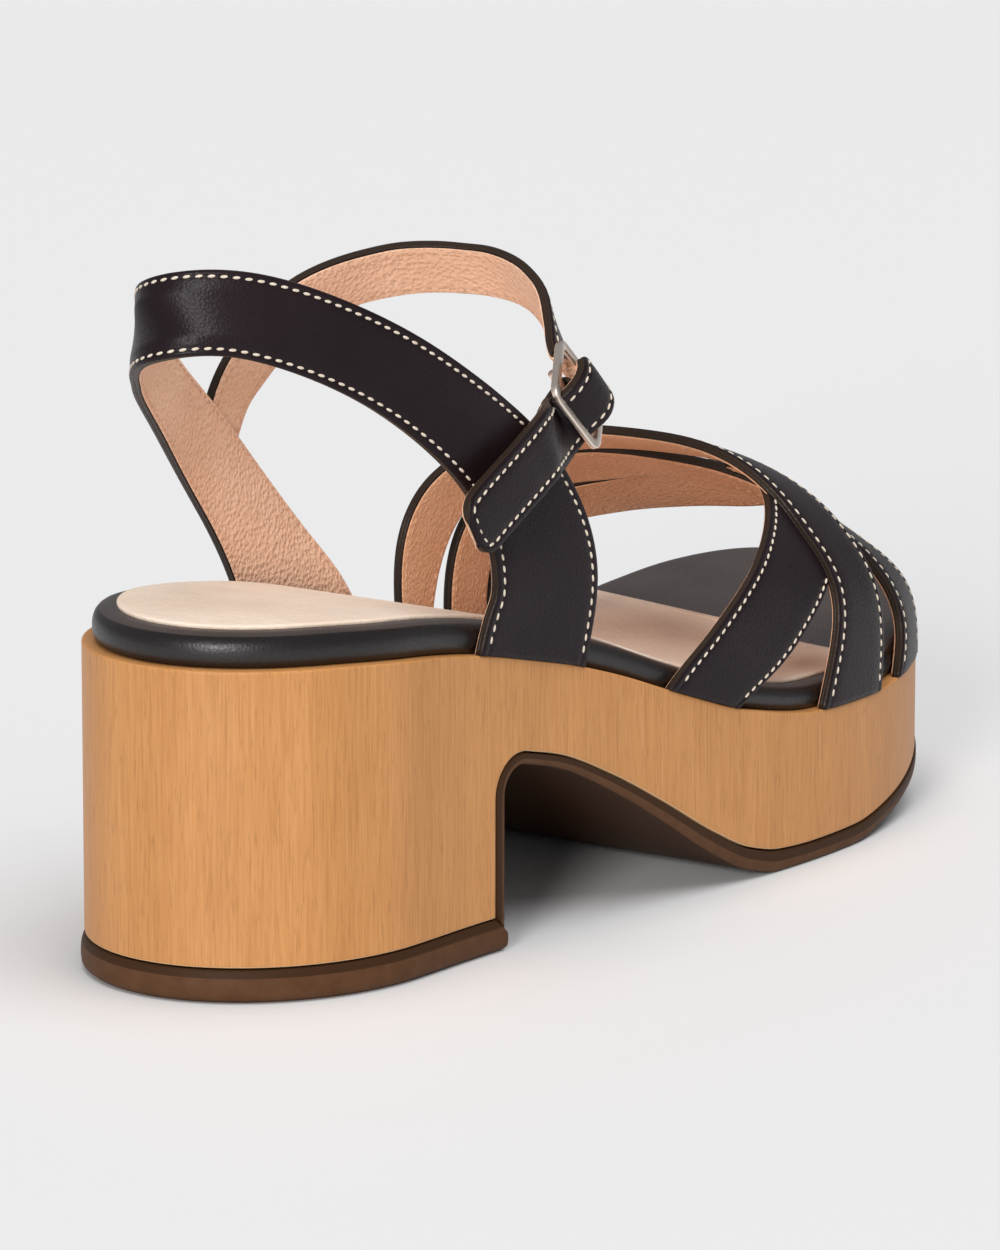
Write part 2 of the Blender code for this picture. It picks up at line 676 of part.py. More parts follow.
def tube(name, path, radius, closed, material):
    """Round wire along a path that lies flat in the buckle."""
    path = np.array(path, dtype=float)
    if closed:
        along = unit(np.roll(path, -1, axis=0) - np.roll(path, 1, axis=0))
    else:
        along = unit(np.gradient(path, axis=0))
    side = np.column_stack((along[:, 1], -along[:, 0], np.zeros(len(path))))
    turn = np.linspace(0.0, 2.0 * math.pi, WIRE_SIDES, endpoint=False)
    lift = np.array((0.0, 0.0, 1.0))
    spokes = side[:, None, :] * np.cos(turn)[None, :, None] + lift * np.sin(turn)[None, :, None]
    verts = in_buckle((path[:, None, :] + spokes * radius).reshape(-1, 3))
    count = len(path)
    sides = WIRE_SIDES
    faces = []
    for i in range(count if closed else count - 1):
        for j in range(sides):
            k = (j + 1) % sides
            n = (i + 1) % count
            faces.append((i * sides + j, n * sides + j, n * sides + k, i * sides + k))
    if not closed:
        faces += [tuple(range(sides)), tuple(range((count - 1) * sides, count * sides))]
    return add_object(name, verts, faces, material)


def make_buckle(material):
    """Wire frame with rounded corners and a lower middle bar."""
    half_long = BUCKLE_ALONG / 2.0 - BUCKLE_CORNER
    half_cross = BUCKLE_ACROSS / 2.0 - BUCKLE_CORNER
    path = []
    for quarter, (a, b) in enumerate(((1, 1), (-1, 1), (-1, -1), (1, -1))):
        for turn in np.radians(np.linspace(0.0, 90.0, CORNER_POINTS)) + quarter * math.pi / 2.0:
            l = a * half_long + BUCKLE_CORNER * math.cos(turn)
            u = b * half_cross + BUCKLE_CORNER * math.sin(turn)
            path.append((l, u, 0.0))
    frame = tube("buckle", path, BUCKLE_WIRE, True, material)
    reach = BUCKLE_ACROSS / 2.0
    bar_path = [(BAR_PLACE, u, BAR_DEPTH) for u in (-reach, 0.0, reach)]
    bar = tube("bar_part", bar_path, BAR_WIRE, False, material)
    return combine(frame, [bar], "UNION")


def make_tab(material):
    """Leather tab from inside the heel loop's outer side, folded round the buckle's bar."""
    line = through_rows(TAB_ROWS, even_places(TAB_ROWS, TAB_POINTS))
    along = unit(np.gradient(line, axis=0))
    out = np.column_stack((-along[:, 1], along[:, 0])) * TAB_WALL / 2.0
    faces = []
    for way in (1.0, -1.0):
        face = line + out * way
        grid = [[(l, u, n) for u in (-TAB_WIDTH / 2.0, 0.0, TAB_WIDTH / 2.0)] for l, n in face]
        faces.append(in_buckle(np.array(grid)))
    return sheet_solid("buckle_tab", *faces, material)


def build():
    for old in list(bpy.data.objects):
        bpy.data.objects.remove(old)
    pieces = [
        make_wood(make_material("honey wood", (0.55, 0.30, 0.10), 0.5)),
        make_lift(make_material("lift rubber", (0.09, 0.05, 0.03), 0.6)),
        make_outsole(make_material("sheet rubber", (0.09, 0.05, 0.03), 0.6)),
        make_footbed(make_material("footbed leather", (0.015, 0.012, 0.013), 0.45)),
        make_sock(make_material("sock leather", (0.80, 0.62, 0.50), 0.6)),
        make_vamp(make_material("vamp leather", (0.015, 0.012, 0.013), 0.45)),
        make_quarter(make_material("quarter leather", (0.015, 0.012, 0.013), 0.45)),
        make_buckle(make_material("gold metal", (0.83, 0.66, 0.36), 0.3, 1.0)),
        make_tab(make_material("tab leather", (0.015, 0.012, 0.013), 0.45)),
    ]
    corners = np.array([vertex.co for piece in pieces for vertex in piece.data.vertices])
    middle = (corners.min(axis=0) + corners.max(axis=0)) / 2.0
    root = bpy.data.objects.new("sandal", None)
    bpy.context.collection.objects.link(root)
    root.location = (-middle[0], -middle[1], 0.0)
    for piece in pieces:
        piece.parent = root


build()
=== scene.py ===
import math

import bpy
import numpy as np
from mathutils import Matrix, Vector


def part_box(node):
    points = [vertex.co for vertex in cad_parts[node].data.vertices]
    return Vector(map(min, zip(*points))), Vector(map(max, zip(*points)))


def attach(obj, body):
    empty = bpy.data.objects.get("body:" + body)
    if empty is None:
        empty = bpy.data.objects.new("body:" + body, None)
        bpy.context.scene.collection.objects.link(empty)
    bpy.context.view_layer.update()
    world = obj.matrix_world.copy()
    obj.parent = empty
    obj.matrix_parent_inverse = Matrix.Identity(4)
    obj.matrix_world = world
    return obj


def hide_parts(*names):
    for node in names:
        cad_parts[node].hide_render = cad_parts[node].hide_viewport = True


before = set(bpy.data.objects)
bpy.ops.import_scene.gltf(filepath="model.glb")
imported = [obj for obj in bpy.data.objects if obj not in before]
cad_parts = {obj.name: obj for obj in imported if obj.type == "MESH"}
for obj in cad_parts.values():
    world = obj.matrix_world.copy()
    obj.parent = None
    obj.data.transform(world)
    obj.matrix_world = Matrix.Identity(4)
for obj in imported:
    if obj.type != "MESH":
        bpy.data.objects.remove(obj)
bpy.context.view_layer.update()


# Platform: one block of honey-coloured wood with a block heel, an arch and a toe spring.
# It is turned and milled to the outline of the foot, its rims eased with sandpaper, and finished with
# a satin lacquer that leaves the upright grain and its short dark pores to be seen.
MM = 0.001
SOLE_LENGTH = 247.0
HEEL_HALF_WIDTH = 33.5
HEEL_ROUND = 40.0
OUTER_WAIST_Y = 52.0
OUTER_BALL_Y = 162.0
OUTER_BALL = 42.3
INNER_WAIST_Y = 92.0
INNER_WAIST = 32.3
INNER_BALL_Y = 205.0
INNER_BALL = 48.5
TOE_TIP_X = -20.0
INNER_TOE_POWER = 2.0
OUTER_TOE_POWER = 2.22
LIFT_HEIGHT = 6.7
BREAST_Y = 64.3
BREAST_FILLET = 8.0
CORNER_FAN = 6.0
FAN_REACH = 18.0
CORNER_CLEAR = 2.0
FILLET_CLEAR = 0.7
TURN_STEPS = 12
BREAST_STEPS = 9
wood_low, wood_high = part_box("wood_base")
SHOE_PLACE = np.array((wood_high[0] / MM - OUTER_BALL, wood_low[1] / MM, 0.0))

# station, top of the wood, thickness of the footbed
TOP_ROWS = (
    (0, 62.7, 6.6), (20, 62.4, 6.6), (40, 60.9, 6.5), (60, 58.2, 6.4), (80, 53.9, 6.2),
    (100, 48, 6), (120, 40.7, 5.6), (140, 34.3, 5.2), (165, 30.1, 5), (190, 29.6, 5),
    (215, 31.5, 6), (230, 33.8, 6.4), (246, 36.6, 6.5),
)
# station, underside of the wood, underside of the rubber
UNDERSIDE_ROWS = (
    (73, 37.6, 35.1), (84, 34.9, 32.2), (98.6, 28.6, 25.4), (113.5, 20.6, 16.8), (128.8, 11.8, 7.4),
    (140, 6.7, 2.1), (150, 4.6, 0), (162, 4.1, 0), (178, 4.2, 0), (190, 5.5, 1.7),
    (210, 8.9, 5.2), (228, 12.6, 9), (250, 17.2, 13.7),
)
# eased rim of the wood: inset from the outline, distance from the top or bottom face
WOOD_RIM_ROWS = ((0.7, 0.0), (0.25, 0.05), (0.06, 0.2), (0.0, 0.42), (0.0, 0.72), (0.0, 1.3))
# the lower rim is painted a paler tone up to this distance from the underside
PALE_RIM = 0.3
# cells per metre of the fibres, the slow bands and the pores, which all run upright
FIBRE_SCALE = (2100.0, 2100.0, 70.0)
BAND_SCALE = (95.0, 95.0, 5.0)
PORE_SCALE = (2300.0, 2300.0, 240.0)
FIBRE_TONES = ((0.28, (0.50, 0.217, 0.068)), (0.50, (0.59, 0.272, 0.090)), (0.72, (0.65, 0.318, 0.118)))
BAND_TONES = ((0.3, (0.90, 0.88, 0.85)), (0.7, (1.0, 1.0, 1.0)))
PORE_BROWN = (0.30, 0.135, 0.045)
RIM_COLOUR = (0.70, 0.44, 0.23)


def smooth_table(rows, column, y):
    """Monotone curve through one column of a table whose first column is the station."""
    xs = np.array([row[0] for row in rows])
    vs = np.array([row[column] for row in rows])
    step = np.diff(xs)
    slope = np.diff(vs) / step
    tangent = np.concatenate(([slope[0]], np.zeros(len(xs) - 2), [slope[-1]]))
    same_way = slope[:-1] * slope[1:] > 0.0
    mean = 2.0 * slope[:-1] * slope[1:] / np.where(same_way, slope[:-1] + slope[1:], 1.0)
    tangent[1:-1] = np.where(same_way, mean, 0.0)
    y = np.clip(np.asarray(y, dtype=float), xs[0], xs[-1])
    i = np.clip(np.searchsorted(xs, y, side="right") - 1, 0, len(xs) - 2)
    t = (y - xs[i]) / step[i]
    rise = t * t * (3.0 - 2.0 * t)
    start = tangent[i] * step[i] * t * (1.0 - t) ** 2
    end = tangent[i + 1] * step[i] * t * t * (t - 1.0)
    return vs[i] + (vs[i + 1] - vs[i]) * rise + start + end


def ease(t):
    t = np.clip(t, 0.0, 1.0)
    return t * t * (3.0 - 2.0 * t)


def half_width(y, waist_y, waist, ball_y, ball, tip, power):
    """Half width of the sole on one side: round heel, waist, ball of the foot and toe."""
    y = np.clip(np.asarray(y, dtype=float), 0.0, SOLE_LENGTH)
    from_middle = 1.0 - np.minimum(y, HEEL_ROUND) / HEEL_ROUND
    heel = HEEL_HALF_WIDTH * np.sqrt(np.clip(1.0 - from_middle ** 2, 0.0, 1.0))
    drawn_in = ease((y - HEEL_ROUND) / (waist_y - HEEL_ROUND))
    swell = ease((y - waist_y) / (ball_y - waist_y))
    side = HEEL_HALF_WIDTH - (HEEL_HALF_WIDTH - waist) * drawn_in + (ball - waist) * swell
    ahead = np.clip((y - ball_y) / (SOLE_LENGTH - ball_y), 0.0, 1.0)
    toe = tip + (ball - tip) * (1.0 - ahead ** power) ** (1.0 / power)
    return np.where(y < HEEL_ROUND, heel, np.where(y < ball_y, side, toe))


def outer_half(y):
    return half_width(
        y, OUTER_WAIST_Y, HEEL_HALF_WIDTH, OUTER_BALL_Y, OUTER_BALL, TOE_TIP_X, OUTER_TOE_POWER)


def inner_half(y):
    return half_width(y, INNER_WAIST_Y, INNER_WAIST, INNER_BALL_Y, INNER_BALL, -TOE_TIP_X, INNER_TOE_POWER)


def sole_stations(heel, side, toe):
    """Stations from the heel to the toe, close together where the outline turns."""
    quarter = math.pi / 2.0
    back = HEEL_ROUND * (1.0 - np.cos(np.linspace(0.0, quarter, heel + 1)))
    middle = np.linspace(HEEL_ROUND, OUTER_BALL_Y, side + 1)[1:]
    reach = SOLE_LENGTH - OUTER_BALL_Y
    front = OUTER_BALL_Y + reach * np.sin(np.linspace(0.0, quarter, toe + 1)[1:])
    return np.concatenate((back, middle, front))


fine_y = sole_stations(heel=48, side=90, toe=64)
fine_ring = np.vstack((
    np.column_stack((outer_half(fine_y), fine_y)),
    np.column_stack((-inner_half(fine_y), fine_y))[-2:0:-1],
))
ring_step = np.roll(fine_ring, -1, axis=0) - np.roll(fine_ring, 1, axis=0)
ring_step /= np.linalg.norm(ring_step, axis=1)[:, None]
ring_inward = np.column_stack((-ring_step[:, 1], ring_step[:, 0]))
outer_inward = ring_inward[:len(fine_y)]
inner_inward = np.vstack((ring_inward[len(fine_y) - 1:], ring_inward[:1]))[::-1]


def rim_points(y, inset, outer):
    """Points of the sole's outline at stations y, moved in square to it."""
    y = np.clip(y, 0.0, SOLE_LENGTH)
    x = outer_half(y) if outer else -inner_half(y)
    inward = outer_inward if outer else inner_inward
    return x + np.interp(y, fine_y, inward[:, 0]) * inset, y + np.interp(y, fine_y, inward[:, 1]) * inset


def wood_top(y):
    return smooth_table(TOP_ROWS, 1, y)


def footbed_thickness(y):
    return smooth_table(TOP_ROWS, 2, y)


def laid_grid(name, rows):
    """Grid primitive with every crossing moved to its place on the shoe, given in millimetres."""
    rows = np.asarray(rows, dtype=float)
    bpy.ops.mesh.primitive_grid_add(
        x_subdivisions=rows.shape[1] - 1, y_subdivisions=rows.shape[0] - 1,
        size=1.0, location=(0.0, 0.0, 0.0))
    piece = bpy.context.object
    piece.name = name
    piece.data.name = name
    piece.data.vertices.foreach_set("co", ((rows + SHOE_PLACE) * MM).ravel())
    piece.data.update()
    return piece


def rolled_grid(name, sections, marks=None):
    """Grid rolled up so that each row is one closed section, sewn along the seam and closed at its ends.

    Marks, one for each point of a section, are kept on the mesh for its finish to read.
    """
    piece = laid_grid(name, np.concatenate((sections, sections[:, :1]), axis=1))
    if marks is not None:
        layer = piece.data.attributes.new("mark", "FLOAT", "POINT")
        layer.data.foreach_set("value", np.tile(np.append(marks, marks[0]), len(sections)).astype(np.float32))
    bpy.ops.object.mode_set(mode="EDIT")
    bpy.ops.mesh.select_all(action="SELECT")
    bpy.ops.mesh.remove_doubles(threshold=0.000003)
    bpy.ops.mesh.fill_holes(sides=0)
    bpy.ops.mesh.normals_make_consistent(inside=False)
    bpy.ops.object.mode_set(mode="OBJECT")
    bpy.ops.object.shade_smooth()
    return piece


def both_sides(columns):
    """Columns of the outer side followed by those of the inner side the other way round."""
    outer = [column(True) for column in columns]
    inner = [column(False) for column in columns]
    middle_low = (outer[0] + inner[0]) / 2.0
    middle_high = (outer[-1] + inner[-1]) / 2.0
    return np.stack([middle_low] + outer + [middle_high] + inner[::-1], axis=1)


def both_sides_marks(marks):
    """Marks of the columns in the order of both_sides."""
    return np.array([marks[0]] + list(marks) + [marks[-1]] + list(marks)[::-1])


def rim_column(y, z, inset):
    """One column of points along the sole's rim, for either side."""
    def column(outer):
        x, along = rim_points(y, inset, outer)
        return np.column_stack((x, along, z))
    return column


def profile(y, z):
    """Points of the side profile, where either may be one value for all."""
    return np.column_stack(np.broadcast_arrays(y, z))


def breast_turn(face_y, ceiling, radius):
    """Rounded inside corner where the upright heel breast meets the arch."""
    turn = np.linspace(math.pi, math.pi / 2.0, TURN_STEPS)
    return profile(face_y + radius * (1.0 + np.cos(turn)), ceiling - radius * (1.0 - np.sin(turn)))


all_y = sole_stations(heel=40, side=84, toe=56)
heel_y = np.append(all_y[all_y < BREAST_Y - CORNER_CLEAR], BREAST_Y)
arch_y = all_y[all_y > BREAST_Y + BREAST_FILLET + FILLET_CLEAR]
wood_turn = breast_turn(BREAST_Y, UNDERSIDE_ROWS[0][1], BREAST_FILLET)
breast_z = np.linspace(LIFT_HEIGHT, wood_turn[0, 1], BREAST_STEPS)[1:-1]
wood_under = np.vstack((
    profile(heel_y, LIFT_HEIGHT),
    profile(BREAST_Y, breast_z),
    wood_turn,
    profile(arch_y, smooth_table(UNDERSIDE_ROWS, 1, arch_y)),
))
under_step = np.gradient(wood_under, axis=0)
under_step /= np.linalg.norm(under_step, axis=1)[:, None]
into_wood = np.column_stack((-under_step[:, 1], under_step[:, 0]))
corner_row = len(heel_y) - 1
into_wood[corner_row] = (-1.0, 1.0)
rim_y = wood_under[:, 0].copy()
rim_y[:corner_row] -= CORNER_FAN * ease((heel_y[:-1] - BREAST_Y) / FAN_REACH + 1.0)
fan_rows = len(breast_z) + 2
rim_y[corner_row:corner_row + fan_rows] = np.linspace(BREAST_Y - CORNER_FAN, BREAST_Y, fan_rows)
wood_columns = []
for inset, depth in WOOD_RIM_ROWS:
    edge = wood_under + into_wood * depth
    wood_columns.append(rim_column(edge[:, 0], edge[:, 1], inset))
for inset, depth in WOOD_RIM_ROWS[::-1]:
    wood_columns.append(rim_column(rim_y, wood_top(rim_y) - depth, inset))
rim_marks = [1.0 if depth < PALE_RIM else 0.0 for inset, depth in WOOD_RIM_ROWS] + [0.0] * len(WOOD_RIM_ROWS)
platform = rolled_grid("platform", both_sides(wood_columns), both_sides_marks(rim_marks))


def add_node(tree, kind, **settings):
    """New shader node; settings whose names match a socket fill it, the others are node properties."""
    node = tree.nodes.new(kind)
    for key, value in settings.items():
        label = key.replace("_", " ")
        if label in node.inputs:
            node.inputs[label].default_value = value
        else:
            setattr(node, key, value)
    return node


def colour_ramp(tree, factor, stops):
    """Colour ramp with stops of place and linear colour."""
    ramp = tree.nodes.new("ShaderNodeValToRGB")
    elements = ramp.color_ramp.elements
    while len(elements) < len(stops):
        elements.new(0.5)
    for element, (place, colour) in zip(elements, stops):
        element.position = place
        element.color = (*colour, 1.0)
    tree.links.new(factor, ramp.inputs["Fac"])
    return ramp.outputs["Color"]


def value_range(tree, value, low, high, from_low=0.0, from_high=1.0):
    """Value carried from one range to another."""
    node = add_node(
        tree, "ShaderNodeMapRange", From_Min=from_low, From_Max=from_high, To_Min=low, To_Max=high)
    tree.links.new(value, node.inputs["Value"])
    return node.outputs["Result"]


def blended(tree, mode, factor, first, second):
    """Two colours mixed; the factor and the second colour may be sockets or plain values."""
    node = add_node(tree, "ShaderNodeMix", data_type="RGBA", blend_type=mode)
    for place, given in ((0, factor), (6, first), (7, second)):
        if isinstance(given, bpy.types.NodeSocket):
            tree.links.new(given, node.inputs[place])
        elif place == 0:
            node.inputs[place].default_value = given
        else:
            node.inputs[place].default_value = (*given, 1.0)
    return node.outputs[2]


def new_finish(name):
    """Material with its node tree, its shader and its Object coordinates."""
    finish = bpy.data.materials.new(name)
    finish.use_nodes = True
    tree = finish.node_tree
    shader = tree.nodes["Principled BSDF"]
    place = tree.nodes.new("ShaderNodeTexCoord").outputs["Object"]
    return finish, tree, shader, place


def marked(tree):
    """Mark of the mesh, sharpened to a clean line."""
    node = add_node(tree, "ShaderNodeAttribute", attribute_name="mark")
    return value_range(tree, node.outputs["Fac"], 0.0, 1.0, 0.42, 0.58)


def stretched(tree, place, scale):
    """Coordinates scaled along each axis."""
    mapping = add_node(tree, "ShaderNodeMapping", Scale=scale)
    tree.links.new(place, mapping.inputs["Vector"])
    return mapping.outputs["Vector"]


def noise(tree, place, scale, detail, roughness):
    """Cloudy noise: cells per metre, layers of detail and how strong the fine ones are."""
    node = add_node(tree, "ShaderNodeTexNoise", Scale=scale, Detail=detail, Roughness=roughness)
    tree.links.new(place, node.inputs["Vector"])
    return node.outputs["Fac"]


def bump(tree, shader, height, strength, distance):
    """Fine relief from a height, its depth in metres."""
    node = add_node(tree, "ShaderNodeBump", Strength=strength, Distance=distance)
    tree.links.new(height, node.inputs["Height"])
    tree.links.new(node.outputs["Normal"], shader.inputs["Normal"])


honey_wood, tree, shader, place = new_finish("honey wood")
fibres = noise(tree, stretched(tree, place, FIBRE_SCALE), 1.0, 4.0, 0.6)
bands = noise(tree, stretched(tree, place, BAND_SCALE), 1.0, 3.0, 0.5)
pores = noise(tree, stretched(tree, place, PORE_SCALE), 1.0, 1.0, 0.4)
wood_colour = colour_ramp(tree, fibres, FIBRE_TONES)
wood_colour = blended(tree, "MULTIPLY", 1.0, wood_colour, colour_ramp(tree, bands, BAND_TONES))
pore_mask = value_range(tree, pores, 0.0, 0.32, 0.60, 0.72)
wood_colour = blended(tree, "MIX", pore_mask, wood_colour, PORE_BROWN)
wood_colour = blended(tree, "MIX", marked(tree), wood_colour, RIM_COLOUR)
tree.links.new(wood_colour, shader.inputs["Base Color"])
shader.inputs["Specular IOR Level"].default_value = 0.35
tree.links.new(value_range(tree, fibres, 0.40, 0.56), shader.inputs["Roughness"])
bump(tree, shader, fibres, 0.2, 0.0001)
platform.data.materials.append(honey_wood)
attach(platform, "root")
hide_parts("wood_base")


# Heel lift: a thick brown rubber top piece under the block heel, glued on and ground flush.
# Its lower edge is bevelled, and its front corner is mitred against the rubber on the heel breast.
LIFT_TOP = 6.4
BREAST_SHEET = 2.8
DARK_BAND_LOW = 5.0
LIFT_CLEAR = 1.0
LIFT_FRONT_STEPS = 8
RUBBER_CORNER = math.radians(40.0)
RUBBER_TONES = ((0.3, (0.086, 0.037, 0.015)), (0.7, (0.112, 0.051, 0.023)))
# darker tone for the rubber's upper band beside the wood, and painted shade on the tread's underside
RUBBER_BAND_AND_SHADE_DARK = (0.046, 0.020, 0.008)
# height over the floor, how far the side stands out of the wood
LIFT_EDGE_ROWS = (
    (0.0, -1.6), (0.03, -1.0), (0.25, -0.45), (0.8, 0.3), (1.3, 0.6), (2.0, 0.7), (3.4, 0.7),
    (4.0, 0.66), (4.25, 0.58), (4.5, 0.6), (5.2, 0.4), (5.9, 0.15), (6.25, 0.02), (6.37, -0.15), (6.4, -0.6),
)
lift_front = BREAST_Y + BREAST_SHEET
lift_y = np.append(
    all_y[all_y < BREAST_Y - LIFT_CLEAR], np.linspace(BREAST_Y, lift_front, LIFT_FRONT_STEPS))
lift_columns = []
for z, stand_out in LIFT_EDGE_ROWS:
    y = np.minimum(lift_y, lift_front - max(0.0, z - (LIFT_TOP - BREAST_SHEET)))
    lift_columns.append(rim_column(y, np.full(len(y), z), -stand_out))
lift_marks = both_sides_marks([1.0 if z > DARK_BAND_LOW else 0.0 for z, stand_out in LIFT_EDGE_ROWS])
lift_sections = both_sides(lift_columns)
middle_seam = lift_sections[-1:].copy()
middle_seam[..., 0] = 0.0
heel_lift = rolled_grid("heel_lift_rubber", np.concatenate((lift_sections, middle_seam)), lift_marks)
bpy.ops.object.shade_smooth_by_angle(angle=RUBBER_CORNER)


def rubber_finish(name):
    """Brown sole rubber: matt, faintly mottled, darker in its upper band beside the wood and, as painted
    shade, underneath.
    """
    finish, tree, shader, place = new_finish(name)
    mottle = noise(tree, place, 260.0, 4.0, 0.6)
    grit = noise(tree, place, 2600.0, 2.0, 0.5)
    brown = blended(tree, "MIX", marked(tree), colour_ramp(tree, mottle, RUBBER_TONES), RUBBER_BAND_AND_SHADE_DARK)
    tree.links.new(brown, shader.inputs["Base Color"])
    shader.inputs["Specular IOR Level"].default_value = 0.14
    tree.links.new(value_range(tree, grit, 0.45, 0.68), shader.inputs["Roughness"])
    bump(tree, shader, grit, 0.3, 0.00008)
    return finish


heel_lift.data.materials.append(rubber_finish("lift rubber"))
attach(heel_lift, "root")
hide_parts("heel_lift")


# Tread: a brown rubber sheet glued up the heel breast, along the arch and under the forefoot to the toe.
# It is trimmed a little proud of the wood, and its lower edge is bevelled.
SHEET_STAND_OUT = 0.3
GLUE_GAP = 0.3
# share of the sheet's thickness from below, inset from the trimmed edge
SHEET_EDGE_ROWS = (
    (0.0, 1.3), (0.03, 0.75), (0.12, 0.32), (0.27, 0.07), (0.42, 0.0), (0.5, 0.06), (0.56, 0.02), (0.8, 0.0),
    (0.95, 0.06), (1.0, 0.5),
)
DARK_BAND_SHARE = 0.52
upper_turn = breast_turn(BREAST_Y + GLUE_GAP, UNDERSIDE_ROWS[0][1] - GLUE_GAP, BREAST_FILLET - GLUE_GAP)
lower_turn = breast_turn(lift_front, UNDERSIDE_ROWS[0][2], BREAST_FILLET - BREAST_SHEET)
rise = np.linspace(0.0, 1.0, BREAST_STEPS + 1)[:-1]
upper_breast_z = LIFT_HEIGHT + (upper_turn[0, 1] - LIFT_HEIGHT) * rise
lower_breast_z = LIFT_HEIGHT - BREAST_SHEET + (lower_turn[0, 1] - LIFT_HEIGHT + BREAST_SHEET) * rise
upper_line = np.vstack((
    profile(BREAST_Y + GLUE_GAP, upper_breast_z),
    upper_turn,
    profile(arch_y, smooth_table(UNDERSIDE_ROWS, 1, arch_y) - GLUE_GAP),
))
lower_line = np.vstack((
    profile(lift_front, lower_breast_z),
    lower_turn,
    profile(arch_y, smooth_table(UNDERSIDE_ROWS, 2, arch_y)),
))
sheet_columns = []
for share, inset in SHEET_EDGE_ROWS:
    edge = lower_line + (upper_line - lower_line) * share
    sheet_columns.append(rim_column(edge[:, 0], edge[:, 1], inset - SHEET_STAND_OUT))
sheet_sections = both_sides(sheet_columns)
middle_seam = sheet_sections[:1].copy()
middle_seam[..., 0] = 0.0
# the upper band and the underside column (share 0) are marked; on the underside the darker tone is painted
# shade under the arch
sheet_marks = both_sides_marks([
    1.0 if share > DARK_BAND_SHARE or share == 0.0 else 0.0 for share, inset in SHEET_EDGE_ROWS])
tread = rolled_grid("tread_rubber_sheet", np.concatenate((middle_seam, sheet_sections)), sheet_marks)
bpy.ops.object.shade_smooth_by_angle(angle=RUBBER_CORNER)
tread.data.materials.append(rubber_finish("tread rubber"))
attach(tread, "root")
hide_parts("outsole")


# Footbed: a board covered in smooth black leather that is folded round its edge and glued underneath.
# It lies on the wood, two millimetres in from the rim, with a soft rounded edge.
FOOTBED_INSET = 2.0
FOOTBED_LIFT = 0.1
# share of the thickness, inset from the footbed's own outline
FOOTBED_EDGE_ROWS = (
    (0.0, 1.1), (0.03, 0.72), (0.1, 0.38), (0.22, 0.12), (0.36, 0.0), (0.5, 0.0), (0.64, 0.16), (0.76, 0.46),
    (0.86, 0.98), (0.93, 1.62), (0.98, 2.5), (1.0, 3.6), (1.0, 5.0),
)
# the side is painted darkest, as painted shade, up to this share of the thickness
SIDE_SHADE_SHARE = 0.8
footbed_columns = []
for share, inset in FOOTBED_EDGE_ROWS:
    def footbed_column(outer, share=share, inset=inset):
        x, y = rim_points(all_y, FOOTBED_INSET + inset, outer)
        z = wood_top(y) + FOOTBED_LIFT + (footbed_thickness(y) - FOOTBED_LIFT) * share
        return np.column_stack((x, y, z))
    footbed_columns.append(footbed_column)
# marks of the painted shade on the side, fading out towards the lighter top
side_shade_marks = [min(1.0, (1.0 - share) / (1.0 - SIDE_SHADE_SHARE)) for share, inset in FOOTBED_EDGE_ROWS]
footbed = rolled_grid("footbed_board", both_sides(footbed_columns), both_sides_marks(side_shade_marks))

# Grain that the leathers share: small rounded cells between fine valleys, and slow patches of tone
leather_grain = bpy.data.node_groups.new("leather grain", "ShaderNodeTree")
for socket, way, kind in (
        ("Place", "INPUT", "NodeSocketVector"), ("Cells per metre", "INPUT", "NodeSocketFloat"),
        ("Grain", "OUTPUT", "NodeSocketFloat"), ("Patches", "OUTPUT", "NodeSocketFloat")):
    leather_grain.interface.new_socket(socket, in_out=way, socket_type=kind)
group_in = leather_grain.nodes.new("NodeGroupInput")
group_out = leather_grain.nodes.new("NodeGroupOutput")
cells = add_node(leather_grain, "ShaderNodeTexVoronoi", feature="SMOOTH_F1", Smoothness=0.35, Randomness=0.9)
fine = add_node(leather_grain, "ShaderNodeTexNoise", Detail=3.0, Roughness=0.6)
slow = add_node(leather_grain, "ShaderNodeTexNoise", Scale=45.0, Detail=3.0, Roughness=0.55)
finer = add_node(leather_grain, "ShaderNodeMath", operation="MULTIPLY")
finer.inputs[1].default_value = 2.3
mixed = add_node(leather_grain, "ShaderNodeMath", operation="MULTIPLY_ADD")
mixed.inputs[1].default_value = 0.55
for source, target in (
        (group_in.outputs["Place"], cells.inputs["Vector"]),
        (group_in.outputs["Place"], fine.inputs["Vector"]),
        (group_in.outputs["Place"], slow.inputs["Vector"]),
        (group_in.outputs["Cells per metre"], cells.inputs["Scale"]),
        (group_in.outputs["Cells per metre"], finer.inputs[0]),
        (finer.outputs["Value"], fine.inputs["Scale"]),
        (fine.outputs["Fac"], mixed.inputs[0]),
        (cells.outputs["Distance"], mixed.inputs[2]),
        (mixed.outputs["Value"], group_out.inputs["Grain"]),
        (slow.outputs["Fac"], group_out.inputs["Patches"])):
    leather_grain.links.new(source, target)


def grained_leather(name, dark, pale, cells, smooth, rough, depth, gloss, edge=None):
    """Leather with its grain, slow patches of two tones, a gloss broken by the grain and a marked edge."""
    finish, tree, shader, place = new_finish(name)
    grain = tree.nodes.new("ShaderNodeGroup")
    grain.node_tree = leather_grain
    tree.links.new(place, grain.inputs["Place"])
    grain.inputs["Cells per metre"].default_value = cells
    tone = colour_ramp(tree, grain.outputs["Patches"], ((0.35, dark), (0.65, pale)))
    if edge is not None:
        tone = blended(tree, "MIX", marked(tree), tone, edge)
    tree.links.new(tone, shader.inputs["Base Color"])
    shader.inputs["Specular IOR Level"].default_value = gloss
    roughness = value_range(tree, grain.outputs["Grain"], smooth, rough, 0.2, 0.9)
    tree.links.new(roughness, shader.inputs["Roughness"])
    bump(tree, shader, grain.outputs["Grain"], 0.9, depth)
    return finish
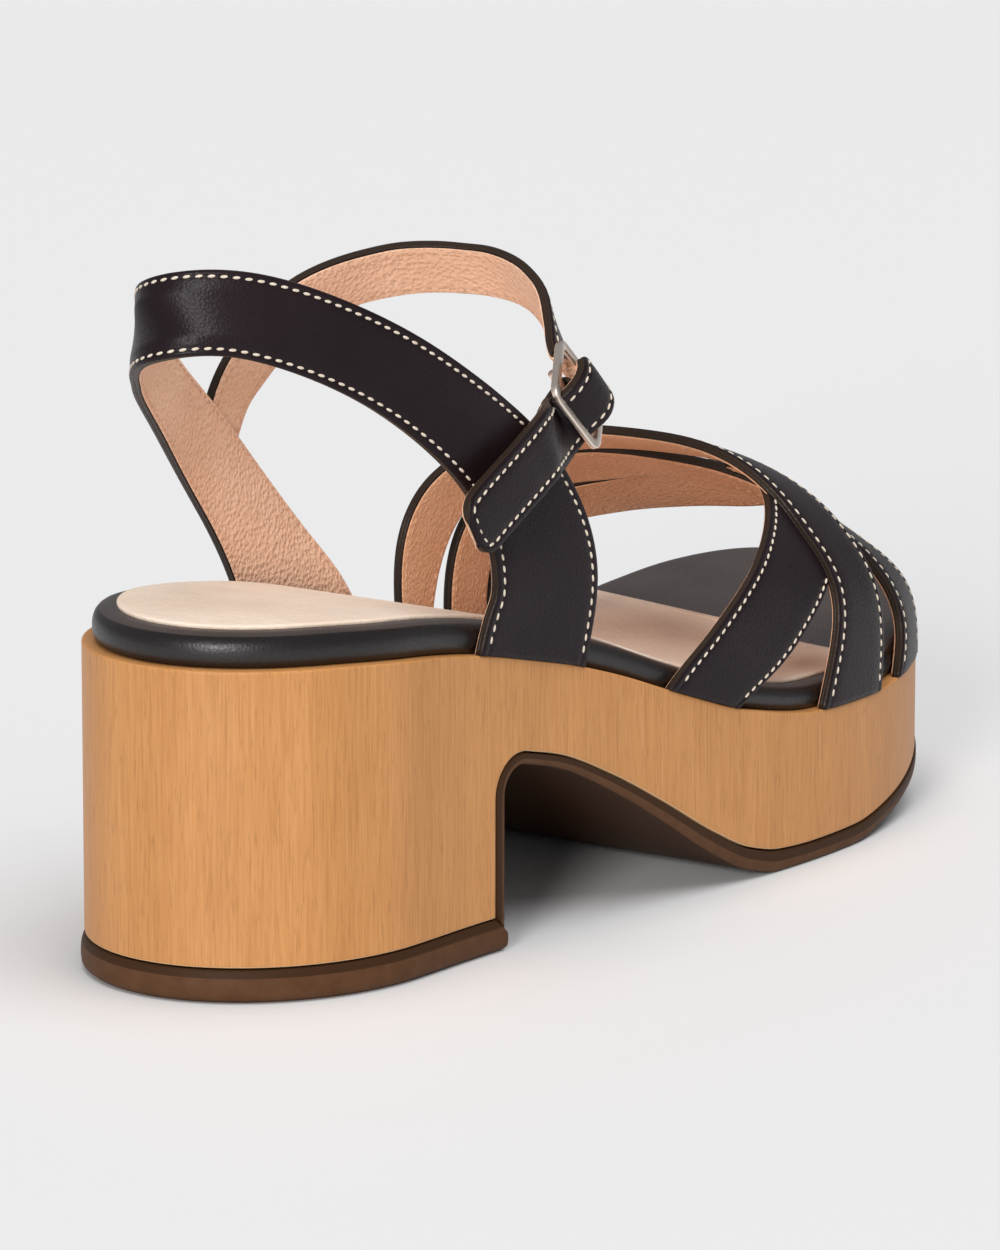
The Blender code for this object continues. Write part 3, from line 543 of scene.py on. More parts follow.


# Footbed leather: its top tone is raised as a painted reflection of the bright surroundings seen at a grazing
# angle, and its side gets a near-black edge tone as painted shade.
black_smooth = grained_leather(
    "smooth black leather with painted sheen and shade", (0.044, 0.033, 0.029), (0.058, 0.043, 0.038),
    cells=1500.0, smooth=0.32, rough=0.42, depth=0.00004, gloss=0.6, edge=(0.007, 0.0045, 0.0045))
footbed.data.materials.append(black_smooth)
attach(footbed, "root")
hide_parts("footbed")


# Sock: a thin pale beige leather glued on the footbed from the heel to the ball of the foot.
# Its cut edge is skived and pressed down, and its front runs slanting across under the straps.
SOCK_INSET = 4.6
SOCK_FRONT_OUTER = 192.0
SOCK_FRONT_INNER = 207.0
# height over the footbed, inset from the cut edge
SOCK_EDGE_ROWS = ((0.0, 0.6), (0.02, 0.1), (0.3, 0.0), (0.55, 0.06), (0.75, 0.3), (0.82, 0.8), (0.82, 1.8))
sock_share = all_y / SOLE_LENGTH
sock_columns = []
for rise, inset in SOCK_EDGE_ROWS:
    def sock_column(outer, rise=rise, inset=inset):
        x, y = rim_points(fine_y, FOOTBED_INSET + SOCK_INSET + inset, outer)
        front = (SOCK_FRONT_OUTER if outer else SOCK_FRONT_INNER) - inset
        along = y[0] + (front - y[0]) * sock_share
        across = np.interp(along, y, x)
        return np.column_stack((across, along, wood_top(along) + footbed_thickness(along) + rise))
    sock_columns.append(sock_column)
sock_sections = both_sides(sock_columns)
end_seam = sock_sections[-1:].copy()
centre = end_seam[:, [0, len(SOCK_EDGE_ROWS) + 1]].mean(axis=1)
end_seam[..., 0] = centre[:, None, 0]
end_seam[..., 1] = centre[:, None, 1]
sock = rolled_grid("sock_leather_sheet", np.concatenate((sock_sections, end_seam)))
bpy.ops.object.shade_smooth_by_angle(angle=math.radians(50.0))
pale_sock = grained_leather(
    "pale sock leather", (0.82, 0.650, 0.515), (0.90, 0.745, 0.61),
    cells=700.0, smooth=0.50, rough=0.66, depth=0.00018, gloss=0.35)
sock.data.materials.append(pale_sock)
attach(sock, "root")
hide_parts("sock")


# Toe straps: two straps side by side and one that crosses between them, in black grained leather.
# Each is lined, its edges painted, sewn along both edges with cream thread, pulled over the last and lasted
# to the rim of the wood beside the footbed. The lining is the heel loop's beige leather, given here as a
# darker, more orange copy that is painted shade under the straps.
STRAP_INSET = 1.7
STITCH_FROM_EDGE = 1.9
STITCH_PITCH = 2.3
STITCH_LENGTH = 1.45
STITCH_WIDTH = 0.58
STITCH_HEIGHT = 0.42
STITCH_SLANT = 7.0
STITCH_LEVEL = 2.14
STITCH_REACH = 0.6
INSIDE_LEVEL = -0.02
INSIDE_SCALE = 0.8
UNSEWN_ROWS = 2
STRAP_EASING = 30
SEAT_ANGLE = 1.0
FORM_STEP = 0.5
EDGE_SHARE = 0.48
# station, height of the foot's form over the wood, x of its crest, roundness of outer and inner side
FORM_ROWS = (
    (100, 78, -3, 2.3, 2.3), (120, 68, -3, 2.3, 2.4), (140, 58.5, -3, 2.4, 2.5),
    (160, 50, -3, 2.5, 2.7), (180, 43, -3, 2.5, 3), (195, 35.5, -3, 2.6, 3.3),
    (210, 28, -4, 2.6, 3.3), (225, 23.5, -4, 2.6, 3.3), (246, 17, -4, 2.6, 3.3),
)
# angle from the outer side over the crest to the inner side, rear edge, front edge, lift of each edge
REAR_STRAP_ROWS = (
    (0, 164, 188, 0, 0), (12, 170, 190, 0.3, 0.3), (25, 172, 189.5, 1.4, 1.4),
    (40, 167, 187.5, 1.5, 1.5), (55, 165, 184, 2, 2), (75, 164, 179.5, 1.6, 1.6),
    (95, 161, 175.5, 0.4, 0.4), (115, 155, 169, 0, 0), (135, 144, 160, 0, 0),
    (150, 133, 151, 0, 0), (165, 127, 145, 0, 0), (180, 130, 142, 0, 0),
)
FRONT_STRAP_ROWS = (
    (0, 198, 215, 0, 0), (12, 204, 218, 0, 0), (25, 201.5, 216, 0, 0),
    (40, 195, 209, -0.2, -0.2), (55, 189, 203, -0.7, -0.7), (75, 182.4, 196, -0.7, -0.7),
    (95, 177.4, 190.5, -0.7, -0.7), (115, 171, 191.5, 0, -1), (135, 162.4, 182, 0, -0.4),
    (150, 154, 174, 0, 0), (165, 151, 169, 0, 0), (180, 153, 170, 0, 0),
)
CROSS_STRAP_ROWS = (
    (0, 115, 136, 0, 0), (6, 124, 149, 0, 0), (12, 131.5, 157, 0, 0),
    (25, 145.5, 171, 0, 0), (40, 157, 183, 0, 0), (55, 167, 192, 0.6, 0.6),
    (75, 178, 200, 0.7, 0), (95, 188.5, 206, 0.7, -2.4), (115, 195, 211, 0.2, -2.2),
    (135, 186.5, 209, 0, -0.8), (150, 177, 195.5, 0, -0.5), (165, 171.5, 189, 0, 0),
    (180, 172.5, 188, 0, 0),
)
# section of the leather from the edge inwards: distance from the edge, height over the inner face
LEATHER_EDGE_ROWS = (
    (5.5, 0.8), (1.6, 0.8), (0.5, 0.3), (0.2, 0.34), (0.04, 0.52), (0.0, 0.78), (0.03, 1.0), (0.13, 1.1),
    (0.03, 1.2), (0.0, 1.42), (0.05, 1.74), (0.2, 1.98), (0.45, 2.12), (0.85, 2.19), (1.25, 2.18),
    (1.6, 2.11), (1.9, 2.05), (2.2, 2.11), (2.6, 2.19), (3.3, 2.24), (4.6, 2.27), (6.0, 2.28),
)
LINING_EDGE_ROWS = (
    (5.5, 0.36), (2.5, 0.36), (0.6, 0.36), (0.42, 0.3), (0.36, 0.18), (0.42, 0.06), (0.6, 0.0), (2.5, 0.0),
    (5.5, 0.0),
)
# breadth of the painted edge
EDGE_REACH = 0.15


def through_rows(rows, places):
    """Points on a smooth curve through the rows, at places counted in rows."""
    table = np.array(rows, dtype=float)
    longer = np.vstack((2.0 * table[0] - table[1], table, 2.0 * table[-1] - table[-2]))
    i = np.clip(places.astype(int), 0, len(table) - 2)
    t = (places - i)[:, None]
    a, b, c, d = longer[i], longer[i + 1], longer[i + 2], longer[i + 3]
    bend = 2.0 * a - 5.0 * b + 4.0 * c - d
    turn = 3.0 * b - a - 3.0 * c + d
    return 0.5 * (2.0 * b + (c - a) * t + bend * t ** 2 + turn * t ** 3)


def unit(vectors):
    return vectors / np.linalg.norm(vectors, axis=-1)[..., None]


def length_along(points):
    """Length of a line of points from its start to each of them."""
    return np.concatenate(([0.0], np.cumsum(np.linalg.norm(np.diff(points, axis=0), axis=1))))


def even_places(points, places, spacing):
    """Places along a line of points, taken in even steps of its length."""
    run = length_along(points)
    return np.interp(np.linspace(0.0, run[-1], int(run[-1] / spacing) + 1), run, places)


def form_point(y, angle):
    """Point of the foot's form, which starts on the wood beside the footbed."""
    turn = np.radians(angle)
    crest = smooth_table(FORM_ROWS, 1, y)
    crest_x = smooth_table(FORM_ROWS, 2, y)
    outer_side = np.cos(turn) >= 0.0
    power = np.where(outer_side, smooth_table(FORM_ROWS, 3, y), smooth_table(FORM_ROWS, 4, y))
    reach = np.where(outer_side, outer_half(y) - STRAP_INSET - crest_x, inner_half(y) - STRAP_INSET + crest_x)
    across = np.abs(np.cos(turn)) ** (2.0 / power)
    up = np.abs(np.sin(turn)) ** (2.0 / power)
    x = crest_x + np.sign(np.cos(turn)) * reach * across
    z = wood_top(y) + crest * up
    return np.stack((x, y + np.zeros_like(x), z), axis=-1)


def form_normal(y, angle):
    """Outward direction of the foot's form, level where a strap stands on the wood."""
    near = np.clip(angle, SEAT_ANGLE, 180.0 - SEAT_ANGLE)
    along = form_point(y + FORM_STEP, near) - form_point(y - FORM_STEP, near)
    around = form_point(y, near + FORM_STEP) - form_point(y, near - FORM_STEP)
    normal = unit(np.cross(along, around))
    normal[..., 2] = np.where(near == angle, normal[..., 2], 0.0)
    return unit(normal)


def bed_on_form(rows, spacing=1.1, columns=13, dense_steps=900):
    """Inner face of a toe strap as a grid of points, in even steps along the strap."""
    dense = np.linspace(0.0, len(rows) - 1.0, dense_steps)
    line = through_rows(rows, dense)
    middle = form_point((line[:, 1] + line[:, 2]) / 2.0, np.clip(line[:, 0], 0.0, 180.0))
    line = through_rows(rows, even_places(middle, dense, spacing))
    angle = np.clip(line[:, :1], 0.0, 180.0) + np.zeros(columns)
    share = np.linspace(0.0, 1.0, columns)
    y = line[:, 1:2] + (line[:, 2:3] - line[:, 1:2]) * share
    lift = line[:, 3:4] + (line[:, 4:5] - line[:, 3:4]) * share
    bed = form_point(y, angle) + form_normal(y, angle) * lift[..., None]
    for end in (0, -1):
        bed[end, :, 2] = wood_top(bed[end, :, 1])
    return bed


def eased_rows(bed, times):
    """Bed with the bends along it softened, its two end rows kept."""
    for step in range(times):
        bed[1:-1] = (bed[:-2] + 2.0 * bed[1:-1] + bed[2:]) / 4.0
    return bed


def bed_normals(bed):
    """Direction square to a strap's inner face, all over it."""
    return unit(np.cross(np.gradient(bed, axis=1), np.gradient(bed, axis=0)))


def bed_width(bed):
    return np.linalg.norm(np.diff(bed, axis=1), axis=2).sum(axis=1)


def across_bed(grid, share):
    """Values of a grid at one share of the width in each row."""
    place = np.clip(share, 0.0, 1.0) * (grid.shape[1] - 1)
    i = np.minimum(place.astype(int), grid.shape[1] - 2)
    t = (place - i)[:, None]
    rows = np.arange(len(grid))
    return grid[rows, i] * (1.0 - t) + grid[rows, i + 1] * t


def crease_depth(run, share, creases):
    """Soft troughs and ridges across a strap: place along it, depth, breadth, slant over the width."""
    depth = np.zeros_like(run)
    for place, trough, breadth, slant in creases:
        depth += trough * np.exp(-((run - place - slant * (share - 0.5)) / breadth) ** 2)
    return depth


def strap_layer(name, bed, normals, edge_rows, creases=(), end_round=None):
    """One layer of a strap, lofted along it with the given section at both edges."""
    width = bed_width(bed)
    run = length_along(bed[:, bed.shape[1] // 2])
    deepest = max(distance for distance, height in edge_rows)
    squeeze = np.minimum(1.0, EDGE_SHARE * width / deepest)
    heights = [height for distance, height in edge_rows]
    half_height = (min(heights) + max(heights)) / 2.0
    columns = []
    sides = [(row, False) for row in edge_rows] + [(row, True) for row in edge_rows[::-1]]
    for (distance, height), far in sides:
        share = distance * squeeze / width
        share = 1.0 - share if far else share
        level = np.full(len(bed), height)
        if end_round is not None:
            level = half_height + (level - half_height) * end_round
        level = level - crease_depth(run, share, creases)
        columns.append(across_bed(bed, share) + across_bed(normals, share) * level[:, None])
    marks = np.array([1.0 if distance < EDGE_REACH else 0.0 for (distance, height), far in sides])
    return rolled_grid(name, np.stack(columns, axis=1), marks)


bpy.ops.mesh.primitive_uv_sphere_add(segments=8, ring_count=6, radius=0.5, location=(0.0, 0.0, 0.0))
stitch_form = bpy.context.object
stitch_form.name = "stitch_form"
bpy.ops.object.mode_set(mode="EDIT")
bpy.ops.mesh.select_all(action="SELECT")
bpy.ops.transform.rotate(value=math.pi / 2.0, orient_axis="Y", center_override=(0.0, 0.0, 0.0))
bpy.ops.transform.resize(value=(STITCH_LENGTH, STITCH_WIDTH, STITCH_HEIGHT))
bpy.ops.object.mode_set(mode="OBJECT")
stitch_points = np.array([vertex.co[:] for vertex in stitch_form.data.vertices])
stitch_faces = [tuple(face.vertices) for face in stitch_form.data.polygons]
bpy.data.objects.remove(stitch_form)


def at_length(run, values, length):
    """Values of a track at one length along it."""
    return np.array([np.interp(length, run, values[:, axis]) for axis in range(3)])


def sewn_row(name, tracks, scale=1.0):
    """Stitches set in even steps along tracks of points with outward directions, as one piece of thread."""
    points = []
    faces = []
    slant = math.radians(STITCH_SLANT)
    for track, outward in tracks:
        run = length_along(track)
        count = int((run[-1] - STITCH_LENGTH) / STITCH_PITCH) + 1
        first = (run[-1] - (count - 1) * STITCH_PITCH) / 2.0
        for k in range(count):
            at = first + k * STITCH_PITCH
            up = unit(at_length(run, outward, at))
            along = at_length(run, track, at + STITCH_REACH) - at_length(run, track, at - STITCH_REACH)
            along = unit(along - up * (along @ up))
            turned = along * math.cos(slant) + np.cross(up, along) * math.sin(slant)
            axes = np.array((turned, np.cross(up, turned), up))
            first_point = len(points) * len(stitch_points)
            faces += [tuple(index + first_point for index in face) for face in stitch_faces]
            points.append(at_length(run, track, at) + stitch_points * scale @ axes)
    mesh = bpy.data.meshes.new(name)
    mesh.from_pydata((np.concatenate(points) + SHOE_PLACE) * MM, [], faces)
    mesh.shade_smooth()
    piece = bpy.data.objects.new(name, mesh)
    bpy.context.collection.objects.link(piece)
    return piece


def edge_tracks(bed, normals, height, last):
    """Two tracks of stitches, one along each edge of a strap."""
    near = STITCH_FROM_EDGE / bed_width(bed)
    tracks = []
    for share in (near, 1.0 - near):
        outward = across_bed(normals, share)
        track = across_bed(bed, share) + outward * height
        tracks.append((track[UNSEWN_ROWS:last], outward[UNSEWN_ROWS:last]))
    return tracks


black_grained = grained_leather(
    "black grained leather", (0.0105, 0.0054, 0.0067), (0.0150, 0.0082, 0.0100),
    cells=1700.0, smooth=0.28, rough=0.40, depth=0.00006, gloss=0.18, edge=(0.030, 0.019, 0.013))
# the toe straps' lining: the heel loop's beige leather as a darker, more orange copy, painted shade under the
# straps
shaded_lining = grained_leather(
    "lining leather with painted shade", (0.77, 0.405, 0.230), (0.86, 0.485, 0.295),
    cells=950.0, smooth=0.52, rough=0.70, depth=0.00045, gloss=0.25)


def thread_finish(name, dark, pale):
    """Twisted sewing thread, its tone, roughness and relief varied by a fine noise."""
    finish, tree, shader, place = new_finish(name)
    twist = noise(tree, place, 2200.0, 2.0, 0.5)
    tree.links.new(colour_ramp(tree, twist, ((0.3, dark), (0.7, pale))), shader.inputs["Base Color"])
    tree.links.new(value_range(tree, twist, 0.6, 0.8), shader.inputs["Roughness"])
    bump(tree, shader, twist, 0.4, 0.0001)
    return finish


cream_thread = thread_finish("cream thread", (0.62, 0.52, 0.41), (0.80, 0.70, 0.58))
tan_thread = thread_finish("tan thread", (0.60, 0.34, 0.21), (0.72, 0.43, 0.28))


def lined_strap(name, bed, normals, creases, lining_finish,
                end_round=None, lining_end=None, last_sewn=-UNSEWN_ROWS, outside=None):
    """The leather, the lining and the thread outside and inside of one strap, each with its finish."""
    leather = strap_layer(name, bed, normals, LEATHER_EDGE_ROWS, creases, end_round)
    lining = strap_layer(name + "_lining", bed[:lining_end], normals[:lining_end], LINING_EDGE_ROWS)
    outside = outside or edge_tracks(bed, normals, STITCH_LEVEL, last_sewn)
    inside = edge_tracks(bed, normals, INSIDE_LEVEL, last_sewn)
    pieces = (
        (leather, black_grained),
        (lining, lining_finish),
        (sewn_row(name + "_thread", outside), cream_thread),
        (sewn_row(name + "_inside_thread", inside, INSIDE_SCALE), tan_thread),
    )
    for piece, finish in pieces:
        piece.data.materials.append(finish)
    return [piece for piece, finish in pieces]


# name, rows, creases
toe_straps = (
    ("rear_toe_strap", REAR_STRAP_ROWS, ((34.0, 0.12, 3.0, 3.0), (88.0, 0.15, 3.5, -4.0))),
    ("front_toe_strap", FRONT_STRAP_ROWS, ((30.0, 0.12, 3.0, 3.0), (80.0, 0.12, 3.0, -3.0))),
    ("cross_toe_strap", CROSS_STRAP_ROWS, ((40.0, 0.12, 3.5, -4.0), (96.0, 0.14, 3.0, 4.0))),
)
for strap_name, rows, creases in toe_straps:
    bed = eased_rows(bed_on_form(rows), STRAP_EASING)
    for piece in lined_strap(strap_name, bed, bed_normals(bed), creases, shaded_lining):
        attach(piece, "root")
        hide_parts("vamp_straps")


# Heel loop: one strap from the outer rim of the wood round the back of the heel to the inner rim.
# It is cut broad where it stands on the wood, in the same sewn leather as the toe straps, lined with beige.
SEAT_BLEND = 20.0
LEATHER_WALL = 2.0
LOOP_STEP = 1.2
LOOP_CREASES = ((46.0, 0.15, 4.0, 5.0), (128.0, 0.18, 4.0, 0.0), (150.0, 0.14, 3.5, 3.0))
# x, y, z of the middle, width, bearing of the outward face, upward lean of that face
HEEL_LOOP_ROWS = (
    (33, 71.3, 41.6, 33.4, -4, 0), (34.1, 75, 55.3, 32, -4, 0),
    (35.3, 78.7, 69, 30.6, -5, 0.3), (33.6, 72.7, 86.6, 24, -6, 4.5),
    (31.4, 59.2, 101.1, 18.2, -14, 4.8), (24.2, 38.5, 116.5, 16, -27, 3),
    (12, 16.4, 126.9, 16, -50, 7), (-3.3, 7.2, 125.8, 16, -97, 14),
    (-16.2, 20.8, 117.6, 16, -140, 9), (-25.7, 40.6, 104.5, 16.5, -155, 2),
    (-30.6, 57.4, 91.6, 17.5, -167, 4), (-33, 71.3, 78.5, 20, -170, 0.5),
    (-32.6, 82.2, 64.2, 25, -174, -3), (-32.1, 90.1, 51.3, 31, -180, 0),
    (-31.8, 98, 38.4, 34, -182, 0), (-31.5, 106, 25.5, 37, -184, 0),
)


def ribbon_places(rows, spacing, dense_steps=1600):
    """Places along a ribbon's rows in even steps of its length."""
    dense = np.linspace(0.0, len(rows) - 1.0, dense_steps)
    return even_places(through_rows(rows, dense)[:, :3], dense, spacing)


def ribbon_bed(rows, places, width_share=1.0, columns=13):
    """Inner face of a free strap as a grid of points."""
    line = through_rows(rows, places)
    middle = line[:, :3]
    along = unit(np.gradient(middle, axis=0))
    bearing = np.radians(line[:, 4])
    lean = np.radians(line[:, 5])
    facing = np.column_stack((np.cos(bearing) * np.cos(lean), np.sin(bearing) * np.cos(lean), np.sin(lean)))
    cross = unit(np.cross(facing, along))
    facing = unit(np.cross(along, cross))
    width = line[:, 3] * width_share
    share = np.linspace(-0.5, 0.5, columns)
    face = middle[:, None, :] + cross[:, None, :] * (width[:, None] * share)[:, :, None]
    return face - facing[:, None, :] * LEATHER_WALL / 2.0


def trimmed_bed(bed, inset):
    """Bed cut off on the wood at both ends, with its feet drawn to the sole's edge."""
    rows = len(bed)
    places = np.arange(rows, dtype=float)
    cut = bed.copy()
    for j in range(bed.shape[1]):
        over = bed[:, j, 2] - wood_top(bed[:, j, 1])
        above = np.flatnonzero(over > 0.0)
        first, last = above[0], above[-1]
        start = first - over[first] / (over[first] - over[first - 1])
        end = last + over[last] / (over[last] - over[last + 1])
        spread = np.linspace(start, end, rows)
        for axis in range(3):
            cut[:, j, axis] = np.interp(spread, places, bed[:, j, axis])
    pull = 1.0 - ease((cut[..., 2] - wood_top(cut[..., 1])) / SEAT_BLEND)
    outer = cut[..., 0] > 0.0
    edge = np.where(outer, outer_half(cut[..., 1]) - inset, inset - inner_half(cut[..., 1]))
    cut[..., 0] += (edge - cut[..., 0]) * pull
    return cut


beige_lining = grained_leather(
    "beige lining leather", (0.86, 0.515, 0.340), (0.94, 0.595, 0.415),
    cells=950.0, smooth=0.52, rough=0.70, depth=0.00050, gloss=0.3)
loop_bed = ribbon_bed(HEEL_LOOP_ROWS, ribbon_places(HEEL_LOOP_ROWS, LOOP_STEP))
loop_bed = trimmed_bed(eased_rows(loop_bed, STRAP_EASING), STRAP_INSET)
for piece in lined_strap("heel_loop", loop_bed, -bed_normals(loop_bed), LOOP_CREASES, beige_lining):
    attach(piece, "root")
    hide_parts("quarter_straps")


# Ankle strap: sewn to the outside of the loop's inner leg, it runs over the instep, through the buckle
# and back along the outer leg to a rounded free tip. It is lined and sewn like the other straps.
TIP_LENGTH = 5.0
TIP_SHARE = 0.45
TIP_ROUNDNESS = 2.6
TIP_ROWS = 8
TIP_STEPS = 16
TIP_EDGE = 0.8
TIP_EDGE_SHARE = 0.15
ANKLE_STEP = 1.0
ANKLE_EASING = 3
HIDDEN_START = 4
LINING_SHORT = 4
SEAM_TURN_POINTS = 7
SEAM_TURN_REACH = 0.9
# x, y, z of the middle, width, bearing of the outward face, upward lean of that face
ANKLE_ROWS = (
    (-34.3, 63, 80, 13.5, 188, 1), (-33.6, 66.6, 91, 13.5, 187, 4),
    (-31.2, 71, 103, 13.5, 178, 11), (-25.6, 83.8, 115.9, 13.5, 149, 30),
    (-15.4, 99.4, 121.2, 13.5, 114, 37), (1, 107.5, 121.5, 13.5, 92, 38),
    (14.6, 104, 118.9, 13.5, 66, 30), (21.3, 100.6, 112.4, 13.2, 38, 22),
    (26.9, 97.1, 106.2, 13, 16, 17), (29.9, 96.2, 105.5, 13, 14, 17),
    (32.4, 96.9, 106.4, 13, 14, 17), (34.9, 95.2, 104.8, 13, 14, 17),
    (35.1, 92.4, 102, 13, 14, 17), (31.6, 88.3, 97.6, 13, 12, 15),
    (33.3, 83.6, 96.6, 13.5, 8, 12), (36, 78.3, 96.2, 13.5, 2, 6),
    (36.9, 72, 93.6, 13.5, -2, 3), (37.2, 57.8, 86.8, 13.5, -4, 2),
    (37.4, 51.3, 83.2, 13.5, -5, 1),
)
ANKLE_CREASES = (
    (30.0, 0.16, 3.0, 2.0), (72.0, 0.14, 3.5, -2.0), (92.0, 0.2, 2.5, 2.0), (104.0, 0.22, 2.0, -1.5),
    (136.0, 0.2, 2.4, 2.0), (146.0, 0.14, 2.2, -2.0),
)
ankle_places = ribbon_places(ANKLE_ROWS, ANKLE_STEP)
ankle_last = len(ANKLE_ROWS) - 1.0
tip_start = ankle_places[-TIP_ROWS]
tip_places = tip_start + (ankle_last - tip_start) * np.sin(np.linspace(0.0, math.pi / 2.0, TIP_STEPS))
ankle_places = np.concatenate((ankle_places[HIDDEN_START:-TIP_ROWS], tip_places))
ankle_middle = through_rows(ANKLE_ROWS, ankle_places)[:, :3]
ankle_left = np.linalg.norm(ankle_middle - ankle_middle[-1], axis=1)
near_end = np.clip(1.0 - ankle_left / TIP_LENGTH, 0.0, 1.0)
tip_width = np.maximum((1.0 - near_end ** TIP_ROUNDNESS) ** (1.0 / TIP_ROUNDNESS), TIP_SHARE)
ankle_bed = ribbon_bed(ANKLE_ROWS, ankle_places, tip_width)
ankle_bed[:-TIP_STEPS] = eased_rows(ankle_bed[:-TIP_STEPS], ANKLE_EASING)
ankle_normals = -bed_normals(ankle_bed)
at_edge = np.clip(1.0 - ankle_left / TIP_EDGE, 0.0, 1.0)
ankle_round = np.maximum(np.sqrt(1.0 - at_edge ** 2), TIP_EDGE_SHARE)
tip_row = int(np.argmax(ankle_left < STITCH_FROM_EDGE))
near_track, far_track = edge_tracks(ankle_bed, ankle_normals, STITCH_LEVEL, tip_row)
turn_share = np.linspace(0.0, 1.0, SEAM_TURN_POINTS + 2)[1:-1, None]
turn_track = near_track[0][-1] + (far_track[0][-1] - near_track[0][-1]) * turn_share
seam_end = unit(near_track[0][-1] - near_track[0][-2])
turn_track = turn_track + seam_end * SEAM_TURN_REACH * np.sin(np.pi * turn_share)
turn_outward = np.repeat(near_track[1][-1:], len(turn_track), axis=0)
tip_track = (
    np.vstack((near_track[0], turn_track, far_track[0][::-1])),
    np.vstack((near_track[1], turn_outward, far_track[1][::-1])),
)
for piece in lined_strap(
        "ankle_strap", ankle_bed, ankle_normals, ANKLE_CREASES, beige_lining,
        end_round=ankle_round, lining_end=-LINING_SHORT, last_sewn=tip_row, outside=[tip_track]):
    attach(piece, "root")
    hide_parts("quarter_straps")


# Buckle: a pale gold frame of flattened bar with rounded corners and a middle bar set a little lower.
# It is cast, plated and polished, and turns on its middle bar.
BUCKLE_CENTRE = np.array((32.1, 93.3, 102.7))
BUCKLE_LONG = np.array((-0.37, 0.66, 0.65))
BUCKLE_NORMAL = np.array((0.93, 0.23, 0.30))
BUCKLE_ALONG = 13.0
BUCKLE_ACROSS = 17.2
BUCKLE_CORNER = 1.9
SIDE_HALF_WIDTH = 0.9
SIDE_HALF_HEIGHT = 0.7
END_HALF_WIDTH = 0.85
END_HALF_HEIGHT = 0.5
FRAME_SQUARENESS = 6.0
BAR_RADIUS = 0.8
BAR_DEPTH = -1.2
BAR_PLACE = -0.8
BAR_STEPS = 7
BAR_SECTION_STEPS = 20
FRAME_CORNER_STEPS = 12
FRAME_SECTION_STEPS = 24
buckle_out = unit(BUCKLE_NORMAL)
buckle_along = unit(BUCKLE_LONG - buckle_out * (BUCKLE_LONG @ buckle_out))
buckle_axes = np.array((buckle_along, np.cross(buckle_out, buckle_along), buckle_out))


def in_buckle(points):
    """Points given along, across and out of the buckle, placed on the shoe."""
    return BUCKLE_CENTRE + np.asarray(points) @ buckle_axes


half_along = BUCKLE_ALONG / 2.0 - BUCKLE_CORNER
half_across = BUCKLE_ACROSS / 2.0 - BUCKLE_CORNER
frame_path = []
frame_away = []
for quarter, (end, side) in enumerate(((1, 1), (-1, 1), (-1, -1), (1, -1))):
    for turn in np.linspace(0.0, math.pi / 2.0, FRAME_CORNER_STEPS) + quarter * math.pi / 2.0:
        away = np.array((math.cos(turn), math.sin(turn), 0.0))
        frame_path.append(np.array((end * half_along, side * half_across, 0.0)) + away * BUCKLE_CORNER)
        frame_away.append(away)
bpy.ops.mesh.primitive_torus_add(
    major_segments=len(frame_path), minor_segments=FRAME_SECTION_STEPS, location=(0.0, 0.0, 0.0))
buckle = bpy.context.object
buckle.name = "buckle_frame"
section_turn = np.linspace(0.0, 2.0 * math.pi, FRAME_SECTION_STEPS, endpoint=False)
power = 2.0 / FRAME_SQUARENESS
section_out = np.sign(np.cos(section_turn)) * np.abs(np.cos(section_turn)) ** power
section_up = np.sign(np.sin(section_turn)) * np.abs(np.sin(section_turn)) ** power
frame_points = []
for at, away in zip(frame_path, frame_away):
    end_share = away[0] ** 2
    half_width = SIDE_HALF_WIDTH + (END_HALF_WIDTH - SIDE_HALF_WIDTH) * end_share
    half_height = SIDE_HALF_HEIGHT + (END_HALF_HEIGHT - SIDE_HALF_HEIGHT) * end_share
    for side, up in zip(section_out, section_up):
        frame_points.append(at + away * side * half_width + np.array((0.0, 0.0, up * half_height)))
buckle.data.vertices.foreach_set("co", ((in_buckle(frame_points) + SHOE_PLACE) * MM).ravel())
buckle.data.update()
bpy.ops.object.shade_smooth_by_angle(angle=math.radians(30.0))
bar_steps = np.linspace(-0.5, 0.5, BAR_STEPS) * BUCKLE_ACROSS
bar_turn = np.linspace(0.0, 2.0 * math.pi, BAR_SECTION_STEPS, endpoint=False)
bar_sections = np.array([
    [(BAR_PLACE + BAR_RADIUS * math.cos(t), step, BAR_DEPTH + BAR_RADIUS * math.sin(t)) for t in bar_turn]
    for step in bar_steps
])
buckle_bar = rolled_grid("buckle_bar", in_buckle(bar_sections))
pale_gold, tree, shader, place = new_finish("pale gold plating")
shader.inputs["Metallic"].default_value = 1.0
wear = noise(tree, place, 420.0, 4.0, 0.6)
brushed = noise(tree, place, 3800.0, 2.0, 0.5)
gold = colour_ramp(tree, wear, ((0.3, (0.90, 0.77, 0.66)), (0.7, (0.95, 0.84, 0.75))))
tree.links.new(gold, shader.inputs["Base Color"])
tree.links.new(value_range(tree, wear, 0.26, 0.42), shader.inputs["Roughness"])
bump(tree, shader, brushed, 0.08, 0.00004)
for piece in (buckle, buckle_bar):
    piece.data.materials.append(pale_gold)
    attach(piece, "root")
    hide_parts("buckle")


# Buckle tab: a short black leather tab sewn inside the outer leg and folded round the buckle's bar.
# It carries the buckle and is almost hidden by the strap that runs over it.
TAB_WIDTH = 9.0
TAB_WALL = 1.2
TAB_STEPS = 80
TAB_COLUMNS = 13
# along the buckle, out of the buckle
TAB_ROWS = (
    (-23.0, -10.4), (-15.0, -7.7), (-9.5, -6.3), (-5.5, -5.5), (-2.4, -3.9), (-0.8, -2.9), (0.4, -2.4),
    (0.9, -1.2), (0.4, 0.0), (-0.8, 0.5),
)
